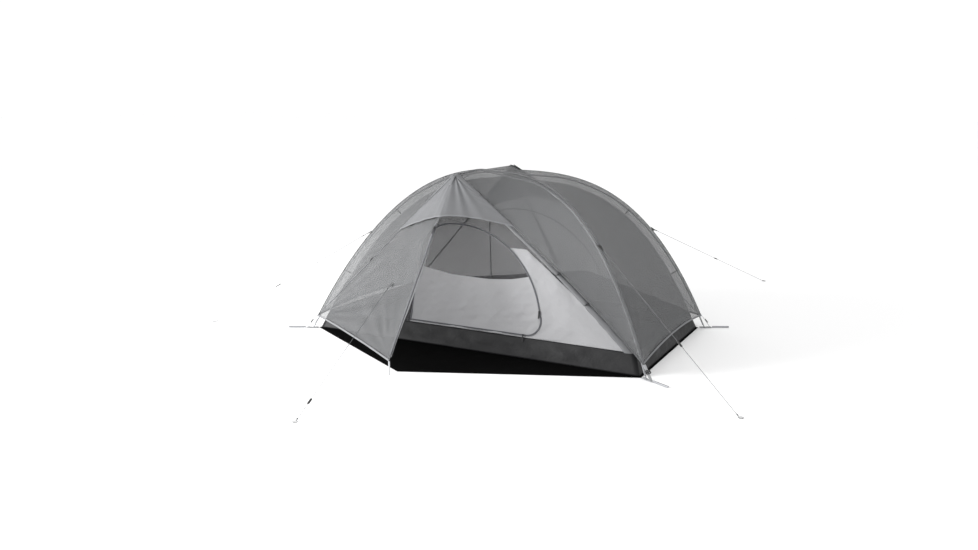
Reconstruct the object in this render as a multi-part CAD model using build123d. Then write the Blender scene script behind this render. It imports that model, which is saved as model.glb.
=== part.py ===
from build123d import *
import os
from math import acos, cos, pi, radians, sin, sqrt

# Two-person dome tent, pitched: footprint, inner tent, hubbed pole set, fly with two vestibules,
# guylines and ground hardware. Millimetres, +Z up. The origin is on the ground under the middle
# of the floor; +X runs along the sleepers and -Y is the front vestibule.

# ---- driving dimensions ------------------------------------------------------------------------
FLOOR_LENGTH = 2150.0        # inner floor along X
FLOOR_WIDTH = 1150.0         # inner floor along Y
FOOT_OUT_X = 45.0            # pole foot beyond the floor corner
FOOT_OUT_Y = 24.0
HUB_X = -170.0               # the poles cross off centre, towards the -X end
HUB_HEIGHT = 1006.0          # pole axis at the hub
SHOULDER_RIGHT = 3.3         # exponent of a leg's profile: the larger, the squarer its shoulder
SHOULDER_LEFT = 2.16
BROW_HALF = 374.0            # half length of the short pole across the top
POLE_RADIUS = 4.5
POLE_WALL = 0.7
SHOCK_CORD_RADIUS = 1.4

TIP_X = -124.0               # vestibule point
TIP_OUT = 593.0              # vestibule point of the fly beyond the floor edge
FOOTPRINT_TIP_OUT = 530.0    # vestibule point of the footprint beyond the floor edge
FOOTPRINT_MARGIN = 10.0      # footprint beyond the floor at the corners
HEM_HEIGHT = 80.0
HEM_ARCH = 40.0              # rise of the hem between two pegged corners
SEAM_BULGE = 42.0            # outward bow of the right vestibule seams

FABRIC = 3.0                 # nominal thickness of the cloth solids
FOOTPRINT_THICKNESS = 2.0
FLY_LIFT = 10.0              # fly's inner face from the pole axis
CANOPY_DROP = 45.0           # inner tent's outer face below the pole axis
BATHTUB_HEIGHT = 115.0
BATHTUB_LEAN = 42.0          # the tub walls lean in by this much

DOOR_RADIUS = 612.0          # arc of the D-shaped inner door
DOOR_CENTRE_X = -146.0
DOOR_SILL = 14.0             # bottom run of the door zip above the tub wall
DOOR_LEFT = -410.0
DOOR_GAP = 1.0               # slot between the door and the wall around it
DOOR_CORNER = 75.0           # radius of the lower right corner of the door

ZIP_WIDTH = 9.0
ZIP_THICKNESS = 1.6
ZIP_GAP = 0.5                # clear space between cloth, zip tape and slider
FLY_ZIP_TOP = 0.715          # share of the door edge that the zip covers, from the point up

LINE_RADIUS = 1.25
LINE_CLEARANCE = 0.35
STRAP_WIDTH = 25.0
STRAP_THICKNESS = 2.0
EYELET_RADIUS = 5.0
PEG_LENGTH = 110.0
PEG_RADIUS = 6.0

# ---- places worked out from them ----------------------------------------------------------------
HUB = Vector(HUB_X, 0, HUB_HEIGHT)
CORE = Vector(HUB_X / 2, 0, 150)          # cloth is thickened towards and away from this point
FLOOR_Z = FOOTPRINT_THICKNESS + 0.5
TUB_TOP_X = FLOOR_LENGTH / 2 - BATHTUB_LEAN
TUB_TOP_Y = FLOOR_WIDTH / 2 - BATHTUB_LEAN
PEAK_Y = BROW_HALF + 6
SIDES = {"left": -1, "right": 1}
ENDS = {"front": -1, "rear": 1}

os.makedirs("parts", exist_ok=True)


def save(name, *solids):
    """Write one node, as one solid or as a group of separate solids."""
    shape = solids[0] if len(solids) == 1 else Compound(list(solids))
    export_step(shape, f"parts/{name}.step")


def outward(point, distance):
    """Move a point straight away from the tent's core."""
    return point + (point - CORE).normalized() * distance


def lerp(a, b, t):
    return a + (b - a) * t


# ---- the curves that everything hangs on -----------------------------------------------------------
def foot(sx, sy):
    return Vector(sx * (FLOOR_LENGTH / 2 + FOOT_OUT_X), sy * (FLOOR_WIDTH / 2 + FOOT_OUT_Y), 0)


def leg_direction(sx, sy):
    """Direction in plan from the hub to a pole foot."""
    return (foot(sx, sy) - Vector(HUB_X, 0, 0)).normalized()


def leg_point(sx, sy, height):
    """The point of a pole leg's axis at a height: its profile is a superellipse."""
    shoulder = SHOULDER_RIGHT if sx > 0 else SHOULDER_LEFT
    reach = (1 - height / HUB_HEIGHT) ** (1 / shoulder)
    return lerp(Vector(HUB_X, 0, 0), foot(sx, sy), reach) + Vector(0, 0, height)


def leg(sx, sy, start_height):
    """A leg's axis as a function of t, 0 at start_height and 1 at the hub, with even steps."""
    first = acos(sqrt(start_height / HUB_HEIGHT))
    return lambda t: leg_point(sx, sy, HUB_HEIGHT * cos(first * (1 - t)) ** 2)


def peak(sy):
    return Vector(HUB_X, sy * PEAK_Y, HUB_HEIGHT)


def seam(sx, sy):
    """Seam from the fly's corner up to the peak, where the vestibule joins the fly."""
    corner = leg_point(sx, sy, HEM_HEIGHT)
    bulge = SEAM_BULGE if sx > 0 else 0.0
    bow = Vector(0.75, sy * 0.2, 0.6) * bulge
    return lambda t: lerp(corner, peak(sy), t) + bow * (4 * t * (1 - t))


def zip_line(sy):
    """Meeting edge of the two vestibule doors, from the point on the ground up to the peak."""
    tip = Vector(TIP_X, sy * (FLOOR_WIDTH / 2 + TIP_OUT), HEM_HEIGHT)
    return lambda t: lerp(tip, peak(sy), t)


# ---- cloth as closed solids with flat facets ----------------------------------------------------------
def patch(edge_a, edge_b, across, up, arch=0.0, start=0.0, end=1.0):
    """Rows of points between two edges; the lowest row rises by arch in its middle."""
    rows = []
    for j in range(up + 1):
        t = start + (end - start) * j / up
        rise = arch * (1 - j / up) ** 3
        row = [lerp(edge_a(t), edge_b(t), i / across) for i in range(across + 1)]
        rows.append([p + Vector(0, 0, rise * 4 * u * (1 - u)) for u, p in
                     ((i / across, p) for i, p in enumerate(row))])
    return rows


def polygon_face(points):
    """A flat face, or None where its corners fall together."""
    kept = []
    for p in points:
        if not any((p - q).length < 0.05 for q in kept):
            kept.append(p)
    return Face(Wire.make_polygon(kept)) if len(kept) > 2 else None


def cloth(rows, depth):
    """Close a grid of points into a solid whose inner face lies `depth` outside the grid."""
    inner = [[outward(p, depth) for p in row] for row in rows]
    outer = [[outward(p, depth + FABRIC) for p in row] for row in rows]
    faces = []
    for layer in (inner, outer):
        for low, high in zip(layer, layer[1:]):
            for i in range(len(low) - 1):
                faces.append(polygon_face([low[i], low[i + 1], high[i + 1]]))
                faces.append(polygon_face([low[i], high[i + 1], high[i]]))

    def rim(layer):
        right = [row[-1] for row in layer[1:-1]]
        left = [row[0] for row in layer[1:-1]]
        return layer[0] + right + layer[-1][::-1] + left[::-1]

    ring_in, ring_out = rim(inner), rim(outer)
    for i in range(len(ring_in)):
        k = (i + 1) % len(ring_in)
        faces.append(polygon_face([ring_in[i], ring_in[k], ring_out[k], ring_out[i]]))
    return Solid(Shell([f for f in faces if f is not None]))


# ---- ground: footprint and inner floor ---------------------------------------------------------------
corner_x = FLOOR_LENGTH / 2 + FOOTPRINT_MARGIN
corner_y = FLOOR_WIDTH / 2 + FOOTPRINT_MARGIN / 2
point_y = FLOOR_WIDTH / 2 + FOOTPRINT_TIP_OUT
footprint_outline = [(-corner_x, -corner_y), (TIP_X, -point_y), (corner_x, -corner_y),
                     (corner_x, corner_y), (TIP_X, point_y), (-corner_x, corner_y)]
footprint = extrude(make_face(Polyline(*footprint_outline, close=True)), FOOTPRINT_THICKNESS)
save("footprint", footprint.solid())


def tub(inset, base):
    """Block with leaning sides that the bathtub floor is cut from."""
    low = Plane.XY.offset(base) * Rectangle(FLOOR_LENGTH - 2 * inset, FLOOR_WIDTH - 2 * inset)
    high = Plane.XY.offset(BATHTUB_HEIGHT) * Rectangle(2 * (TUB_TOP_X - inset), 2 * (TUB_TOP_Y - inset))
    return loft([low, high])


save("bathtub_floor", (tub(0, FLOOR_Z) - tub(FABRIC, FLOOR_Z + FABRIC)).solid())

# ---- inner tent ------------------------------------------------------------------------------------------
INNER_PEAK_Y = BROW_HALF - 20
INNER_PEAK_Z = HUB_HEIGHT - CANOPY_DROP
canopy_start = BATHTUB_HEIGHT + ZIP_GAP


def inner_leg(sx, sy):
    """Top edge of the inner tent under a pole, from the corner of the tub up to the hub."""
    under_pole = leg(sx, sy, canopy_start)
    corner = Vector(sx * TUB_TOP_X, sy * TUB_TOP_Y, canopy_start)
    shift = corner - outward(under_pole(0), -CANOPY_DROP)
    return lambda t: outward(under_pole(t), -CANOPY_DROP) + shift * (1 - t) ** 3


def inner_seam(sx, sy):
    corner = Vector(sx * TUB_TOP_X, sy * TUB_TOP_Y, canopy_start)
    top = Vector(HUB_X, sy * INNER_PEAK_Y, INNER_PEAK_Z)
    return lambda t: lerp(corner, top, t)


def canopy_half(sx):
    """One half of the inner tent: a front strip, the end and a rear strip, sewn together."""
    strips = [(inner_seam(sx, -1), inner_leg(sx, -1), 4), (inner_leg(sx, -1), inner_leg(sx, 1), 6),
              (inner_leg(sx, 1), inner_seam(sx, 1), 4)]
    rows = None
    for edge_a, edge_b, across in strips:
        part = patch(edge_a, edge_b, across, 14)
        rows = part if rows is None else [row + more[1:] for row, more in zip(rows, part)]
    return cloth(rows, -FABRIC)


for side, sx in SIDES.items():
    save(f"inner_canopy_{side}", canopy_half(sx))

WALL_RISE = sqrt((TUB_TOP_Y - INNER_PEAK_Y) ** 2 + (INNER_PEAK_Z - canopy_start) ** 2)


def wall_plane(sy, depth=0.0):
    """Plane of an inner wall: X is the tent's X, Y climbs the wall, Z points out of the tent."""
    climb = Vector(0, sy * (INNER_PEAK_Y - TUB_TOP_Y), INNER_PEAK_Z - canopy_start).normalized()
    normal = Vector(1, 0, 0).cross(climb)
    base = Plane(Vector(0, sy * TUB_TOP_Y, canopy_start), x_dir=(1, 0, 0), z_dir=normal)
    return base.offset(depth)


def door_outline():
    """Closed D: level sill, round right side, short top, leaning left side."""
    centre_y = DOOR_SILL - 6
    start = radians(12)
    stop = radians(95)
    right_low = (DOOR_CENTRE_X + DOOR_RADIUS * cos(start), centre_y + DOOR_RADIUS * sin(start))
    top_left = (DOOR_CENTRE_X + DOOR_RADIUS * cos(stop), centre_y + DOOR_RADIUS * sin(stop))
    middle = (start + stop) / 2
    middle_point = (DOOR_CENTRE_X + DOOR_RADIUS * cos(middle), centre_y + DOOR_RADIUS * sin(middle))
    side_arc = ThreePointArc(right_low, middle_point, top_left)
    left_top = (DOOR_LEFT + 38, top_left[1] - 120)
    shoulder = TangentArc(top_left, left_top, tangent=side_arc % 1)
    left_side = Line(left_top, (DOOR_LEFT, DOOR_SILL))
    corner_start = (right_low[0] - DOOR_CORNER, DOOR_SILL)
    sill = Line((DOOR_LEFT, DOOR_SILL), corner_start)
    corner = TangentArc(corner_start, right_low, tangent=(1, 0))
    return Wire([side_arc, shoulder, left_side, sill, corner])


door_wire = door_outline()
door_face = Face(door_wire)
wall_face = Face(Wire.make_polygon([(-TUB_TOP_X, 0), (TUB_TOP_X, 0), (HUB_X, WALL_RISE)]))
wall_face = offset(wall_face, -FABRIC).face()
opening_face = offset(door_face, DOOR_GAP, kind=Kind.INTERSECTION).face()
zip_face = offset(door_face, ZIP_WIDTH / 2).face() - offset(door_face, -ZIP_WIDTH / 2).face()
zip_base = ZIP_GAP
slider_base = zip_base + ZIP_THICKNESS + ZIP_GAP


def on_wall(sy, sketch, depth, thickness):
    """Extrude a sketch from depth to depth + thickness outside an inner wall's outer face."""
    # The rear plane's normal, X cross climb, points into the tent, so depths there change sign.
    start = -depth - thickness if sy > 0 else depth
    return extrude(wall_plane(sy, start) * sketch, thickness)


def pull(plane, place, length, width, thickness):
    """Pull tab that hangs from a round barrel at place; the plane is the tab's middle."""
    body = Pos(0, -length / 2) * Rectangle(width, length)
    body = fillet(body.vertices().group_by(Axis.Y)[0], width * 0.4)
    body -= Pos(0, -length + width * 0.7) * Circle(width * 0.22)
    tab = extrude(plane * place * body, thickness / 2, both=True)
    barrel = plane * place * (Rot(0, 90, 0) * Cylinder(thickness / 2, width))
    return (tab + barrel).solid()


SLIDER_LENGTH = 13.0
SLIDER_WIDTH = 10.0
SLIDER_HEIGHT = 3.0
PULL_LENGTH = 38.0
PULL_WIDTH = 7.0
PULL_THICKNESS = 1.6
SLIDER_ANGLE = 14.0          # rest place of the upper slider round the door's arc, in degrees


def slider_sketch(place, turn):
    return place * Rot(0, 0, turn) * RectangleRounded(SLIDER_LENGTH, SLIDER_WIDTH, 3)


arc_centre = (DOOR_CENTRE_X, DOOR_SILL - 6)
sill_place = Pos(DOOR_CENTRE_X + DOOR_RADIUS - DOOR_CORNER - 30, DOOR_SILL)
arc_place = Pos(arc_centre[0] + DOOR_RADIUS * cos(radians(SLIDER_ANGLE)),
                arc_centre[1] + DOOR_RADIUS * sin(radians(SLIDER_ANGLE)))
pull_base = slider_base + SLIDER_HEIGHT + ZIP_GAP
for end, sy in ENDS.items():
    save(f"inner_{end}_wall", on_wall(sy, Sketch() + wall_face - opening_face, -FABRIC, FABRIC).solid())
    save(f"inner_{end}_door", on_wall(sy, Sketch() + door_face, -FABRIC, FABRIC).solid())
    save(f"inner_{end}_zip", on_wall(sy, Sketch() + zip_face, zip_base, ZIP_THICKNESS).solid())
    places = {"sill": (sill_place, 0)}
    if end == "front":
        places["arc"] = (arc_place, 90 + SLIDER_ANGLE)
    for run, (place, turn) in places.items():
        save(f"inner_{end}_{run}_slider",
             on_wall(sy, slider_sketch(place, turn), slider_base, SLIDER_HEIGHT).solid())
        middle = pull_base + PULL_THICKNESS / 2
        save(f"inner_{end}_{run}_pull",
             pull(wall_plane(sy, -sy * middle), place, PULL_LENGTH, PULL_WIDTH, PULL_THICKNESS))

# ---- poles ---------------------------------------------------------------------------------------------------
HUB_RADIUS = 34.0
HUB_THICKNESS = 14.0
SOCKET_DEPTH = 20.0
SOCKET_CLEARANCE = 0.2
POLE_END_HEIGHT = 26.0
RUNS = 7
FERRULE_LENGTH = 36.0
FERRULE_WALL = 0.6
FERRULE_CLEARANCE = 0.1
CLIP_LENGTH = 8.0
CLIP_CLEARANCE = 0.3
CLIP_WALL = 1.5
CLIP_STEM = 3.0
CLIP_STANDOFF = 4.0          # the stem stops this far above the canopy
TIP_GAP = 0.6                # between the end of a pole and its tip
TIP_COLLAR = 7.0
TIP_STEP = 1.8               # the tip's pin is thinner than its collar by this much
TIP_STANDOFF = 2.0           # the pin stops this far above the webbing
BROW_CAP = (5.0, 0.5)        # length of the brow pole's end caps, and how far they stand out


def round_bar(start, end, radius):
    """Cylinder between two points."""
    axis = end - start
    return extrude(Plane(start, z_dir=axis) * Circle(radius), axis.length)


def leg_path(sx, sy):
    """Pole axis: straight runs joined by tangent arcs, from the hub's socket to the foot."""
    curve = leg(sx, sy, POLE_END_HEIGHT)
    start = HUB + leg_direction(sx, sy) * (HUB_RADIUS - SOCKET_DEPTH)
    points = [start] + [curve(1 - i / RUNS) for i in range(1, RUNS + 1)]
    radii = []
    for a, b, c in zip(points, points[1:], points[2:]):
        turn = radians((b - a).get_angle(c - b))
        radii.append(0.38 * min((b - a).length, (c - b).length) / (sin(turn / 2) / cos(turn / 2)))
    return FilletPolyline(*points, radius=radii)


def tube_along(path, outer_radius, inner_radius):
    ring = Circle(outer_radius)
    if inner_radius:
        ring = ring - Circle(inner_radius)
    return sweep(Plane(path @ 0, z_dir=path % 0) * ring, path=path)


def straight_runs(path):
    return [e for e in path.edges().sort_by(path) if e.geom_type == GeomType.LINE]


def clip(place, along, to_canopy):
    """Hook that snaps over a pole from below, with a stem down to the canopy's loop."""
    jaw_radius = POLE_RADIUS + CLIP_CLEARANCE + CLIP_WALL
    stem_length = to_canopy.length - POLE_RADIUS - CLIP_STANDOFF
    frame = Plane(place, x_dir=to_canopy, z_dir=along)
    jaw = Circle(jaw_radius) - Circle(POLE_RADIUS + CLIP_CLEARANCE)
    mouth = Pos(-jaw_radius, 0) * Rectangle(jaw_radius + CLIP_WALL, POLE_RADIUS * 1.5)
    stem = Pos(POLE_RADIUS + CLIP_WALL + stem_length / 2, 0) * Rectangle(stem_length, CLIP_STEM)
    return extrude(frame * (jaw - mouth + stem), CLIP_LENGTH / 2, both=True).solid()


ferrules, tips, clips, cords = [], [], [], []
hub = Pos(HUB) * (Cylinder(HUB_RADIUS, HUB_THICKNESS) - Rot(90, 0, 0) * Cylinder(
    POLE_RADIUS + SOCKET_CLEARANCE, 4 * HUB_RADIUS))
for end, sy in ENDS.items():
    for side, sx in SIDES.items():
        path = leg_path(sx, sy)
        save(f"pole_{end}_{side}", tube_along(path, POLE_RADIUS, POLE_RADIUS - POLE_WALL).solid())
        cords.append(tube_along(path, SHOCK_CORD_RADIUS, 0).solid())
        socket_start = path @ 0 - (path % 0) * SOCKET_CLEARANCE
        hub -= round_bar(socket_start, socket_start + (path % 0) * (SOCKET_DEPTH + 10),
                         POLE_RADIUS + SOCKET_CLEARANCE)
        canopy_edge = [inner_leg(sx, sy)(i / 60) for i in range(61)]
        for i, run in enumerate(straight_runs(path)):
            middle, along = run @ 0.5, run % 0.5
            if i % 2:
                half = along * (FERRULE_LENGTH / 2)
                bore = POLE_RADIUS + FERRULE_CLEARANCE
                sleeve = round_bar(middle - half, middle + half, bore + FERRULE_WALL)
                sleeve -= round_bar(middle - half * 2, middle + half * 2, bore)
                ferrules.append(sleeve.solid())
            elif i and middle.Z > 2 * BATHTUB_HEIGHT:
                nearest = min(canopy_edge, key=lambda p: (p - middle).length)
                clips.append(clip(middle, along, nearest - middle))
        pole_end = path @ 1
        tip_end = foot(sx, sy) + Vector(0, 0, FLOOR_Z + STRAP_THICKNESS)
        down = (tip_end - pole_end).normalized()
        tip = round_bar(pole_end + down * TIP_GAP, pole_end + down * TIP_COLLAR, POLE_RADIUS)
        tip += round_bar(pole_end + down * TIP_COLLAR, tip_end - down * TIP_STANDOFF, POLE_RADIUS - TIP_STEP)
        tips.append(tip.solid())
brow_start, brow_end = HUB - Vector(0, BROW_HALF, 0), HUB + Vector(0, BROW_HALF, 0)
brow = round_bar(brow_start, brow_end, POLE_RADIUS) - round_bar(brow_start, brow_end, POLE_RADIUS - POLE_WALL)
save("brow_pole", brow.solid())
for sy in ENDS.values():
    cap_length, cap_rim = BROW_CAP
    cap = HUB + Vector(0, sy * (BROW_HALF + TIP_GAP), 0)
    tips.append(round_bar(cap, cap + Vector(0, sy * cap_length, 0), POLE_RADIUS + cap_rim).solid())
cords.append(round_bar(brow_start, brow_end, SHOCK_CORD_RADIUS).solid())
save("pole_hub", fillet(hub.edges().filter_by(GeomType.CIRCLE).filter_by(
    lambda e: e.radius > HUB_RADIUS - 1), 3).solid())
save("pole_ferrules", *ferrules)
save("pole_tips", *tips)
save("pole_clips", *clips)
save("shock_cords", *cords)

# ---- fly -------------------------------------------------------------------------------------------------------
FLY_ROWS = 22                # facets of every fly panel from the hem to the top, so that seams match
for side, sx in SIDES.items():
    edge_a, edge_b = leg(sx, -1, HEM_HEIGHT), leg(sx, 1, HEM_HEIGHT)
    save(f"fly_{side}_end", cloth(patch(edge_a, edge_b, 6, FLY_ROWS, arch=HEM_ARCH), FLY_LIFT))
    for end, sy in ENDS.items():
        rows = patch(seam(sx, sy), leg(sx, sy, HEM_HEIGHT), 5, FLY_ROWS)
        save(f"fly_{end}_{side}", cloth(rows, FLY_LIFT))

closed_doors = {"front_door_closed": (-1, -1), "rear_door_left": (-1, 1), "rear_door_right": (1, 1)}
for name, (sx, sy) in closed_doors.items():
    rows = patch(seam(sx, sy), zip_line(sy), 6, FLY_ROWS, arch=HEM_ARCH / 4)
    save(name, cloth(rows, FLY_LIFT))

HOOD_GAP = 3.0
HOOD_LOW = (0.63, 0.75, 0.68)     # how far up the hood's edge lies: left seam, zip, right seam


def hood(sy):
    """Storm hood over the top of the zip: a fan from the peak down to an arched edge."""
    columns = 12
    left, middle, right = HOOD_LOW
    rows = [[] for _ in range(5)]
    for i in range(columns + 1):
        c = i / columns
        low = left + (4 * middle - 3 * left - right) * c + (2 * left + 2 * right - 4 * middle) * c * c
        for j, row in enumerate(rows):
            t = low + (0.985 - low) * j / 4
            if c <= 0.5:
                row.append(lerp(seam(-1, sy)(t), zip_line(sy)(t), 2 * c))
            else:
                row.append(lerp(zip_line(sy)(t), seam(1, sy)(t), 2 * c - 1))
    return cloth(rows, FLY_LIFT + FABRIC + HOOD_GAP)


for end, sy in ENDS.items():
    save(f"{end}_hood", hood(sy))

ROLL_START, ROLL_END = 0.05, 0.70
ROLL_WIDTH, ROLL_DEPTH = 40.0, 22.0
ROLL_SIDES = 10


def roll_centre(t):
    """Middle of the rolled door: beside the right seam, on the side of the zip."""
    across = (zip_line(-1)(t) - seam(1, -1)(t)).normalized()
    return outward(seam(1, -1)(t) + across * (ROLL_WIDTH / 2 + 8), FLY_LIFT), across


def rolled_door():
    """The right front door rolled back along its seam, slimmer towards the peak."""
    rings = []
    for j in range(13):
        t = ROLL_START + (ROLL_END - ROLL_START) * j / 12
        centre, across = roll_centre(t)
        size = 1.15 - 0.6 * j / 12
        depth = (centre - CORE).normalized()
        rings.append([centre + across * (cos(2 * pi * i / ROLL_SIDES) * ROLL_WIDTH / 2 * size)
                      + depth * (sin(2 * pi * i / ROLL_SIDES) * ROLL_DEPTH / 2 * size)
                      for i in range(ROLL_SIDES)])
    faces = []
    for low, high in zip(rings, rings[1:]):
        for i in range(ROLL_SIDES):
            k = (i + 1) % ROLL_SIDES
            faces += [polygon_face([low[i], low[k], high[k]]), polygon_face([low[i], high[k], high[i]])]
    for ring in (rings[0], rings[-1]):
        middle = sum(ring, Vector(0, 0, 0)) * (1 / ROLL_SIDES)
        faces += [polygon_face([ring[i], ring[(i + 1) % ROLL_SIDES], middle]) for i in range(ROLL_SIDES)]
    return Solid(Shell(faces))


save("front_door_rolled", rolled_door())

TOGGLE_LENGTH = 30.0
TOGGLE_RADIUS = 3.5
TOGGLE_ROUNDING = 1.5
TOGGLE_GAP = 1.5             # clear space between a toggle and the roll
TOGGLE_HOLE = 1.2            # radius of the hole for the loop that holds the roll
TOGGLE_PLACES = {"upper": 0.422, "lower": 0.272}
toggle_frames = {}
for name, t in TOGGLE_PLACES.items():
    centre, across = roll_centre(t)
    size = 1.15 - 0.6 * (t - ROLL_START) / (ROLL_END - ROLL_START)
    along = (roll_centre(t + 0.01)[0] - roll_centre(t - 0.01)[0]).normalized()
    depth = (centre - CORE).normalized()
    normal = (depth - along * along.dot(depth)).normalized()
    middle = centre + normal * (ROLL_DEPTH / 2 * size + TOGGLE_RADIUS + TOGGLE_GAP)
    half = along.cross(normal) * (TOGGLE_LENGTH / 2)
    toggle_frames[name] = (middle, normal)
    bar = fillet(round_bar(middle - half, middle + half, TOGGLE_RADIUS).edges(), TOGGLE_ROUNDING)
    reach = normal * 2 * TOGGLE_RADIUS
    cord_hole = round_bar(middle - reach, middle + reach, TOGGLE_HOLE)
    save(f"roll_toggle_{name}", (bar - cord_hole).solid())

# ---- zips of the vestibules -------------------------------------------------------------------------------------
FLY_ZIP_WIDTH = 12.0
FLY_SLIDER_SIZE = (20.0, 13.0)
FLY_SLIDER_HEIGHT = 4.0
FLY_PULL_LENGTH = 46.0
FLY_PULL_WIDTH = 9.0
FLY_PULL_THICKNESS = 1.8


def fly_zip_plane(sy):
    """Plane on the left door's outer face at the zip: X climbs the zip, Z points out."""
    low = outward(zip_line(sy)(0.03), FLY_LIFT + FABRIC)
    high = outward(zip_line(sy)(FLY_ZIP_TOP), FLY_LIFT + FABRIC)
    inside = outward(seam(-1, sy)(0.4), FLY_LIFT + FABRIC)
    normal = (high - low).cross(inside - low) * sy
    if normal.Y * sy < 0:
        normal = normal * -1
    plane = Plane(low, x_dir=high - low, z_dir=normal)
    return plane, (high - low).length, -1 if plane.to_local_coords(inside).Y < 0 else 1


FLY_ZIP_GAP = 1.6
fly_slider_rest = {"front": 0.965, "rear": 0.03}   # share of the zip's length
fly_zip_facts = {}
for end, sy in ENDS.items():
    plane, length, into_door = fly_zip_plane(sy)
    lane = into_door * (FLY_ZIP_WIDTH / 2 + 1)
    tape = Pos(length / 2, lane) * Rectangle(length, FLY_ZIP_WIDTH)
    save(f"fly_{end}_zip", extrude(plane.offset(FLY_ZIP_GAP) * tape, ZIP_THICKNESS).solid())
    base = FLY_ZIP_GAP + ZIP_THICKNESS + ZIP_GAP
    station = length * fly_slider_rest[end]
    body = Pos(station, lane) * RectangleRounded(*FLY_SLIDER_SIZE, 4)
    save(f"fly_{end}_slider", extrude(plane.offset(base) * body, FLY_SLIDER_HEIGHT).solid())
    middle = base + FLY_SLIDER_HEIGHT + ZIP_GAP + FLY_PULL_THICKNESS / 2
    save(f"fly_{end}_pull", pull(plane.offset(middle), Pos(station, lane) * Rot(0, 0, -90),
                                 FLY_PULL_LENGTH, FLY_PULL_WIDTH, FLY_PULL_THICKNESS))
    fly_zip_facts[end] = (plane, length, station, lane, base)

# ---- guylines -------------------------------------------------------------------------------------------------------
TAB_LENGTH = 45.0
TAB_WIDTH = 22.0
TENSIONER_SIZE = (36.0, 12.0, 6.0)
LOOP_RADIUS = 11.0
# name: where the line leaves the fly, the middle of its end loop in plan, share where the tensioner sits
door_anchor = lerp(seam(-1, -1)(0.34), zip_line(-1)(0.34), 0.62)
GUYLINES = {
    "left": (leg_point(-1, -1, 620), (-1797, -801), 0.57),
    "front": (door_anchor, (-121, -1947), 0.88),
    "right": (leg_point(1, -1, 665), (1684, -924), 0.60),
    "rear": (leg_point(1, 1, 640), (1179, 2269), 0.50),
}
tabs, loops = [], []
guyline_facts = {}
for name, (anchor, (end_x, end_y), share) in GUYLINES.items():
    root = outward(anchor, FLY_LIFT + FABRIC + 4)
    loop_centre = Vector(end_x, end_y, LINE_RADIUS + 0.3)
    along = (loop_centre - root).normalized()
    tab_end = root + along * TAB_LENGTH
    flat = along.cross((root - CORE).normalized().cross(along))
    tab = make_face(Polyline((4, -TAB_WIDTH / 2), (TAB_LENGTH, -3), (TAB_LENGTH, 3),
                             (4, TAB_WIDTH / 2), close=True))
    tabs.append(extrude(Plane(root, x_dir=along, z_dir=flat) * tab, 1.0, both=True).solid())
    level = Vector(along.X, along.Y, 0).normalized()
    line_end = loop_centre - level * (LOOP_RADIUS + LINE_RADIUS + 1)
    line_end = Vector(line_end.X, line_end.Y, loop_centre.Z + 0.6)
    direction = (line_end - tab_end).normalized()
    line_start = tab_end + direction
    save(f"guyline_{name}", round_bar(line_start, line_end, LINE_RADIUS).solid())
    loops.append((Pos(loop_centre) * Torus(LOOP_RADIUS, LINE_RADIUS)).solid())
    middle = lerp(line_start, line_end, share)
    length, width, height = TENSIONER_SIZE
    frame = Plane(middle, x_dir=direction.cross(Vector(0, 0, 1)), z_dir=direction)
    profile = RectangleRounded(width, height, 2) - Circle(LINE_RADIUS + LINE_CLEARANCE)
    save(f"line_tensioner_{name}", extrude(frame.offset(-length / 2) * profile, length).solid())
    guyline_facts[name] = (line_start, line_end, middle, direction)
save("guyline_tabs", *tabs)
save("guyline_end_loops", *loops)

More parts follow.
